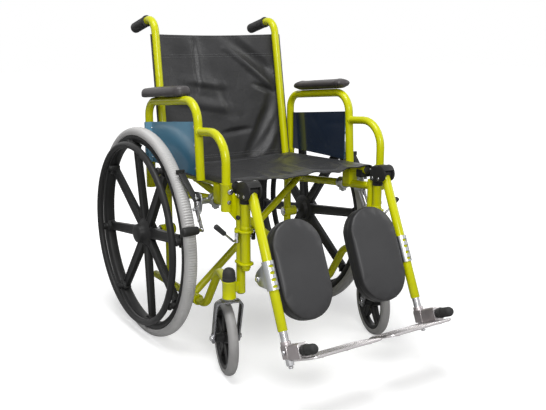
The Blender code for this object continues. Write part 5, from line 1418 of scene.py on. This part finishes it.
SPINDLE_DROP = 0.389
leg_top = on_leg(FRAME_HALF, 0, 0)
spindle_foot = on_leg(FRAME_HALF, 0, SPINDLE_DROP)
upper_leg = turned(
    [
        (0, -0.0030), (0.0105, -0.0030), (0.0120, -0.0010), (0.0120, 0.3385), (0.0112, 0.3400),
        (0.0101, 0.3400), (0.0101, 0.1900), (0, 0.1900),
    ],
    leg_top, DOWN_LEG, 32,
)
head = turned(both_sides([(0, -0.0126), (0.0120, -0.0126), (0.0132, -0.0116)]), leg_top, ACROSS, 32)
fit_pair(upper_leg, "leg_pipe", lime_coat, "leg", "lime_paint", "leg_tube")
fit_pair(head, "leg_head_bush", nylon, "leg", "black_plastic")
# The telescoping foot tube is plated, and ends in a cast block that carries the footplate on a spindle.
lower_leg = turned(
    [(0, 0.235), (0.0088, 0.235), (0.0095, 0.2358), (0.0095, 0.4205), (0.0086, 0.4215), (0, 0.4215)],
    leg_top, DOWN_LEG, 28,
)
spring_button = turned(
    [(0, 0.0006), (0.0016, 0.0005), (0.0028, 0.0002), (0.0030, -0.001), (0, -0.001)],
    on_leg(FRAME_HALF, -0.0093, 0.352), -FORTH_LEG, 14,
)
tip = turned(
    [
        (0, 0.4205), (0.0040, 0.4205), (0.0042, 0.4220), (0.0058, 0.4240), (0.0060, 0.4262), (0.0044, 0.4286),
        (0, 0.4292),
    ],
    leg_top, DOWN_LEG, 18,
)
spindle = turned(
    [(0, 0.010), (0.0040, 0.010), (0.0040, 0.1145), (0.0030, 0.1155), (0, 0.1155)],
    spindle_foot, FORTH_LEG, 18,
)
foot_pipe = join([lower_leg, spring_button, tip, spindle])
fit_pair(foot_pipe, "sliding_foot_pipe", chrome, "foot", "chrome", "foot_tube")
block_line = [(-0.012, 0.3730), (0.0158, 0.3730), (0.0158, 0.4050), (-0.012, 0.4050)]
foot_block = cut_plate(
    [on_leg(FRAME_HALF, forth, drop) for forth, drop in block_line], (0.0215, 0, 0), 0.0022
)
collar = turned(
    [(0.0096, 0.3640), (0.0116, 0.3640), (0.0126, 0.3652), (0.0126, 0.3735), (0.0096, 0.3735)],
    leg_top, DOWN_LEG, 28, ring=True,
)
set_screw = hex_head(on_leg(FRAME_HALF + 0.0118, 0.001, SPINDLE_DROP), ACROSS, 0.0048, 0.0030)
# Zinc alloy, die cast and only lightly tumbled: a mid grey that is warmer and duller than the aluminium.
grey_cast = new_finish("grey_zinc_die_cast", 0.40, 1.0)
mottle(grey_cast, ("#8d8788", "#b0a9aa"), drift=(36, 4), grain=(620, 3), relief=(0.12, 0.0002))
fit_pair(join([foot_block, collar]), "foot_block", grey_cast, "foot", "cast_aluminium")
fit_pair(set_screw, "foot_block_screw", chrome, "foot", "chrome")
bumper = turned(
    [
        (0.0042, 0.0868), (0.0105, 0.0868), (0.0125, 0.0885), (0.0125, 0.1080), (0.0120, 0.1120),
        (0.0096, 0.1168), (0.0060, 0.1190), (0, 0.1194),
    ],
    spindle_foot, FORTH_LEG, 28,
)
fit_pair(bumper, "bumper_cap", rubber, "foot", "black_rubber", "footplate_bumper")


# The footplates: plates of cast and polished aluminium with a rounded rim and raised bars across, hinged on
# the spindle through a housing on their outer edge, so that they flip up. Rubber covers the hinge in front.
# Aluminium, cast and polished: brighter and smoother than the other castings, with fine lines lengthwise.
bright_metal = new_finish("bright_aluminium_polished", 0.24, 1.0)
mottle(
    bright_metal, ("#b4b0b1", "#d8d5d5"), drift=(4, 4), relief=(0.10, 0.0002), haze=(0.18, 0.34),
    stretch=(8, 260, 260),
)


def plate_point(x, forth, lift=0.0):
    return on_leg(x, forth, 0.406 - lift)


corner = 0.020
low_x, high_x, low_f, high_f = 0.008, 0.222, 0.0163, 0.112
plate_line = []
for centre_x, centre_f, start in (
    (high_x - corner, high_f - corner, 0), (low_x + corner, high_f - corner, 90),
    (low_x + corner, low_f + corner, 180), (high_x - corner, low_f + corner, 270),
):
    plate_line += arc((centre_x, centre_f), corner, start, start + 90, 8)
plate = cut_plate([plate_point(x, forth, -0.00275) for x, forth in plate_line], DOWN_LEG * 0.0055, 0.0016)
bars = []
for number in range(7):
    forth = 0.0290 + 0.0115 * number
    first, last = 0.022, (0.196 if forth < 0.088 else 0.206)
    corners = ((first, -0.0030), (last, -0.0030), (last, 0.0030), (first, 0.0030))
    bars.append(cut_plate(
        [plate_point(x, forth + half, 0.0004) for x, half in corners], -DOWN_LEG * 0.0009, 0.0005
    ))
under_ribs = []
for x in (0.045, 0.115, 0.185):
    under_ribs.append(cut_plate(
        [on_leg(x - 0.0016, forth, 0.4128) for forth in (0.026, 0.102)]
        + [on_leg(x + 0.0016, forth, 0.4128) for forth in (0.102, 0.026)],
        DOWN_LEG * 0.0030, 0.0005,
    ))
housing_line = [
    (0.1990, 0.4070), (0.1990, 0.3760), (0.2020, 0.3722), (0.2218, 0.3722), (0.2248, 0.3760),
    (0.2248, 0.4070),
]
housing = cut_plate([on_leg(x, 0.0435, drop) for x, drop in housing_line], FORTH_LEG * 0.0530, 0.0012)
rims = [
    cut_plate(
        [
            on_leg(0.2119 + (x - 0.2119) * 1.07, forth, 0.3896 + (drop - 0.3896) * 1.05)
            for x, drop in housing_line[1:5]
        ] + [on_leg(0.2258, forth, 0.4062), on_leg(0.1980, forth, 0.4062)],
        FORTH_LEG * 0.0026, 0.0006,
    )
    for forth in (0.0182, 0.0690)
]
ribs = [
    turned(
        [
            (0.0086, start), (0.0124, start), (0.0128, start + 0.0006), (0.0128, start + 0.0020),
            (0.0124, start + 0.0026), (0.0086, start + 0.0026),
        ],
        spindle_foot, FORTH_LEG, 28, ring=True,
    )
    for start in (0.0712, 0.0750)
]
barrel = turned(
    [(0.0044, 0.0690), (0.0112, 0.0690), (0.0112, 0.0790), (0.0044, 0.0790)],
    spindle_foot, FORTH_LEG, 28, ring=True,
)
lips = []
for front, back in ((high_f, high_f - 0.006), (low_f, low_f + 0.006)):
    lip = front + (0.0006 if front > back else -0.0006)
    lips.append(cut_plate(
        [
            on_leg(0.115, forth, drop) for forth, drop in (
                (back, 0.4052), (front, 0.4052), (lip, 0.4066), (front - (front - back) * 0.3, 0.4074),
                (front - (front - back) * 0.3, 0.4098), (lip, 0.4106), (front, 0.4122), (back, 0.4122),
            )
        ],
        (0.178, 0, 0), 0.0004,
    ))

flange = turned(
    [
        (0.0044, 0.0780), (0.0128, 0.0780), (0.0134, 0.0788), (0.0134, 0.0854), (0.0128, 0.0862),
        (0.0044, 0.0862),
    ],
    spindle_foot, FORTH_LEG, 32, ring=True,
)
fit_pair(
    join([plate] + rims + lips + bars + under_ribs), "footplate_cast", bright_metal, "plate",
    "cast_aluminium", "footplate",
)
fit_pair(housing, "footplate_housing", grey_cast, "plate", "cast_aluminium")
fit_pair(join([barrel, flange] + ribs), "footplate_hinge_cover", rubber, "plate", "black_rubber")


# The calf supports: a slotted band round the leg tube carries a painted steel arm, and the padded board on it
# tilts. The pad is smooth charcoal vinyl over foam, with a sewn edge band.
levels = (0.1720, 0.1815, 0.1885, 0.1975, 0.2050, 0.2140, 0.2215, 0.2305, 0.2375, 0.2420)
band = draw_line([leg_top + FORTH_LEG * 0.0139 + DOWN_LEG * drop for drop in levels])
bpy.ops.mesh.spin(steps=36, dupli=False, angle=2 * pi, center=leg_top, axis=DOWN_LEG)
close_mesh(band)


def in_window(point, normal):
    drop = (point - leg_top).dot(DOWN_LEG)
    facing = normal.dot(FORTH_LEG)
    return facing > 0.86 and any(low < drop < high for low, high in zip(levels[1::2], levels[2::2]))


pick(band, in_window)
bpy.ops.mesh.delete(type="FACE")
bpy.ops.object.mode_set(mode="OBJECT")
thicken(band, WALL, 0)
web_line = [(0.0120, 0.172), (0.054, 0.188), (0.066, 0.197), (0.068, 0.211), (0.058, 0.224), (0.0120, 0.242)]
web = cut_plate([on_leg(FRAME_HALF, -back, drop) for back, drop in web_line], (0.006, 0, 0), 0.0008)
fit_pair(join([band, web]), "calf_band", cast_metal, "leg", "cast_aluminium", "calf_bracket")
web_bolt = hex_head(on_leg(FRAME_HALF + 0.0028, -0.060, 0.207), ACROSS, 0.0060, 0.0038)
fit_pair(web_bolt, "calf_bolt", chrome, "leg", "chrome")

backing, strap = [
    cut_plate(
        [on_leg(x, -0.0338, drop) for x, drop in ((near, top), (far, top), (far, low), (near, low))],
        FORTH_LEG * -0.0030,
    )
    for near, far, top, low in ((0.0755, 0.1655, 0.145, 0.265), (0.1600, 0.2085, 0.200, 0.220))
]
ear_line = [(0.0350, 0.198)]
ear_line += [
    (0.060 + 0.009 * sin(radians(a)), 0.207 - 0.009 * cos(radians(a))) for a in range(0, 181, 20)
]
ear_line += [(0.0350, 0.222)]
ear = cut_plate([on_leg(0.2070, -back, drop) for back, drop in ear_line], (0.0030, 0, 0), 0.0005)
board_screws = [
    turned(
        [(0, 0.0020), (0.0024, 0.0017), (0.0036, 0.0006), (0.0036, 0), (0, 0)],
        on_leg(x, -0.0352, drop), -FORTH_LEG, 14,
    )
    for x in (0.0905, 0.1505) for drop in (0.160, 0.250)
]
fit_pair(join([backing, strap, ear]), "calf_bracket_plate", lime_coat, "calf", "lime_paint", "calf_arm")
fit_pair(join(board_screws), "calf_board_screws", chrome, "calf", "chrome")

# Vinyl film over foam, heat-formed: smooth charcoal with a broad soft shine and hardly any grain.
film = new_finish("charcoal_film_heat_formed", 0.40, gloss=0.18)
mottle(film, ("#303031", "#3d3d3e"), drift=(10, 4), grain=(260, 3), relief=(0.12, 0.0003))
# The same film, darker, on the faces of the cushion that lie back from its front face: its edge band and back.
darker_side_film = new_finish("darker_side_film_heat_formed", 0.36, gloss=0.22)
mottle(darker_side_film, ("#1d1d1e", "#2a2a2b"), drift=(10, 4), relief=(0.12, 0.0006))
PAD_DROP = 0.205
PAD_ROUND = 0.0745
PAD_STRAIGHT = 0.051


def calf_cushion():
    """The cushion in its own plane: a stadium-shaped board, with its shoulders rounded, then blown up."""
    outline = arc((0, PAD_STRAIGHT), PAD_ROUND, 0, 180, 24) + arc((0, -PAD_STRAIGHT), PAD_ROUND, 180, 360, 24)
    pad = cut_plate([Vector((x, y, -0.0105)) for x, y in outline], (0, 0, 0.0430), 0.0)
    pick(pad, lambda point, normal: normal.z > 0.9)
    bpy.ops.mesh.bevel(offset=0.0065, segments=4, affect="EDGES")
    pick(pad, lambda point, normal: normal.z < -0.9)
    bpy.ops.mesh.bevel(offset=0.003, segments=3, affect="EDGES")
    close_mesh(pad)
    stuff(pad, 0.0050, 2, 0.0016, lambda point: point.z < 0.002)
    for point in pad.data.vertices:
        x, y, z = point.co
        reach = (x / PAD_ROUND) ** 2 + (max(0.0, abs(y) - PAD_STRAIGHT) / PAD_ROUND) ** 2
        if z > -0.010:
            point.co.z += 0.0022 * max(0.0, 1 - reach)
        rim = 1 - abs(z + 0.0125) / 0.0022
        if rim > 0 and reach > 0.80:
            point.co.x *= 1 - 0.010 * rim
            point.co.y *= 1 - 0.006 * rim
    return pad


left_pad = calf_cushion()
lay = Matrix((
    (1, 0, 0, 0),
    (0, -DOWN_LEG.y, FORTH_LEG.y, 0),
    (0, -DOWN_LEG.z, FORTH_LEG.z, 0),
    (0, 0, 0, 1),
))
left_pad.data.transform(Matrix.Translation(on_leg(0.1205, 0, PAD_DROP)) @ lay)
pad_middle = on_leg(0, 0, PAD_DROP)
for piece in fit_pair(left_pad, "calf_cushion", film, "calf", "black_vinyl", "calf_pad"):
    piece.data.materials.append(darker_side_film)
    # Faces lying back from the cushion's front face take the darker copy of the film.
    for face in piece.data.polygons:
        face.material_index = 0 if (face.center - pad_middle).dot(FORTH_LEG) > 0.0068 else 1


# The release levers: a hub on the hanger and a plated rod, bent up and out to a black grip.
hub = turned(
    [(0, 0.3652), (0.0050, 0.3652), (0.0060, 0.3660), (0.0060, 0.3904), (0.0050, 0.3912), (0, 0.3912)],
    at(0.230, -0.424, 0), UP, 24,
)
elbow = at(0.243, -0.428, 0.371)
tip = at(0.294, -0.430, 0.417)
rod = bent_tube([at(0.230, -0.424, 0.371), elbow, tip], (0.008,), 0.0030, 14)
fit_pair(join([hub, rod]), "release_rod", chrome, "catch", "chrome", "release_lever")
way = (tip - elbow).normalized()
grip = turned(
    [
        (0.0030, -0.0360), (0.0056, -0.0355), (0.0063, -0.0340), (0.0065, -0.0200), (0.0069, -0.0050),
        (0.0067, -0.0014), (0.0050, 0.0002), (0, 0.0004),
    ],
    tip, way, 24,
)
fit_pair(grip, "release_grip", rubber, "catch", "black_rubber")
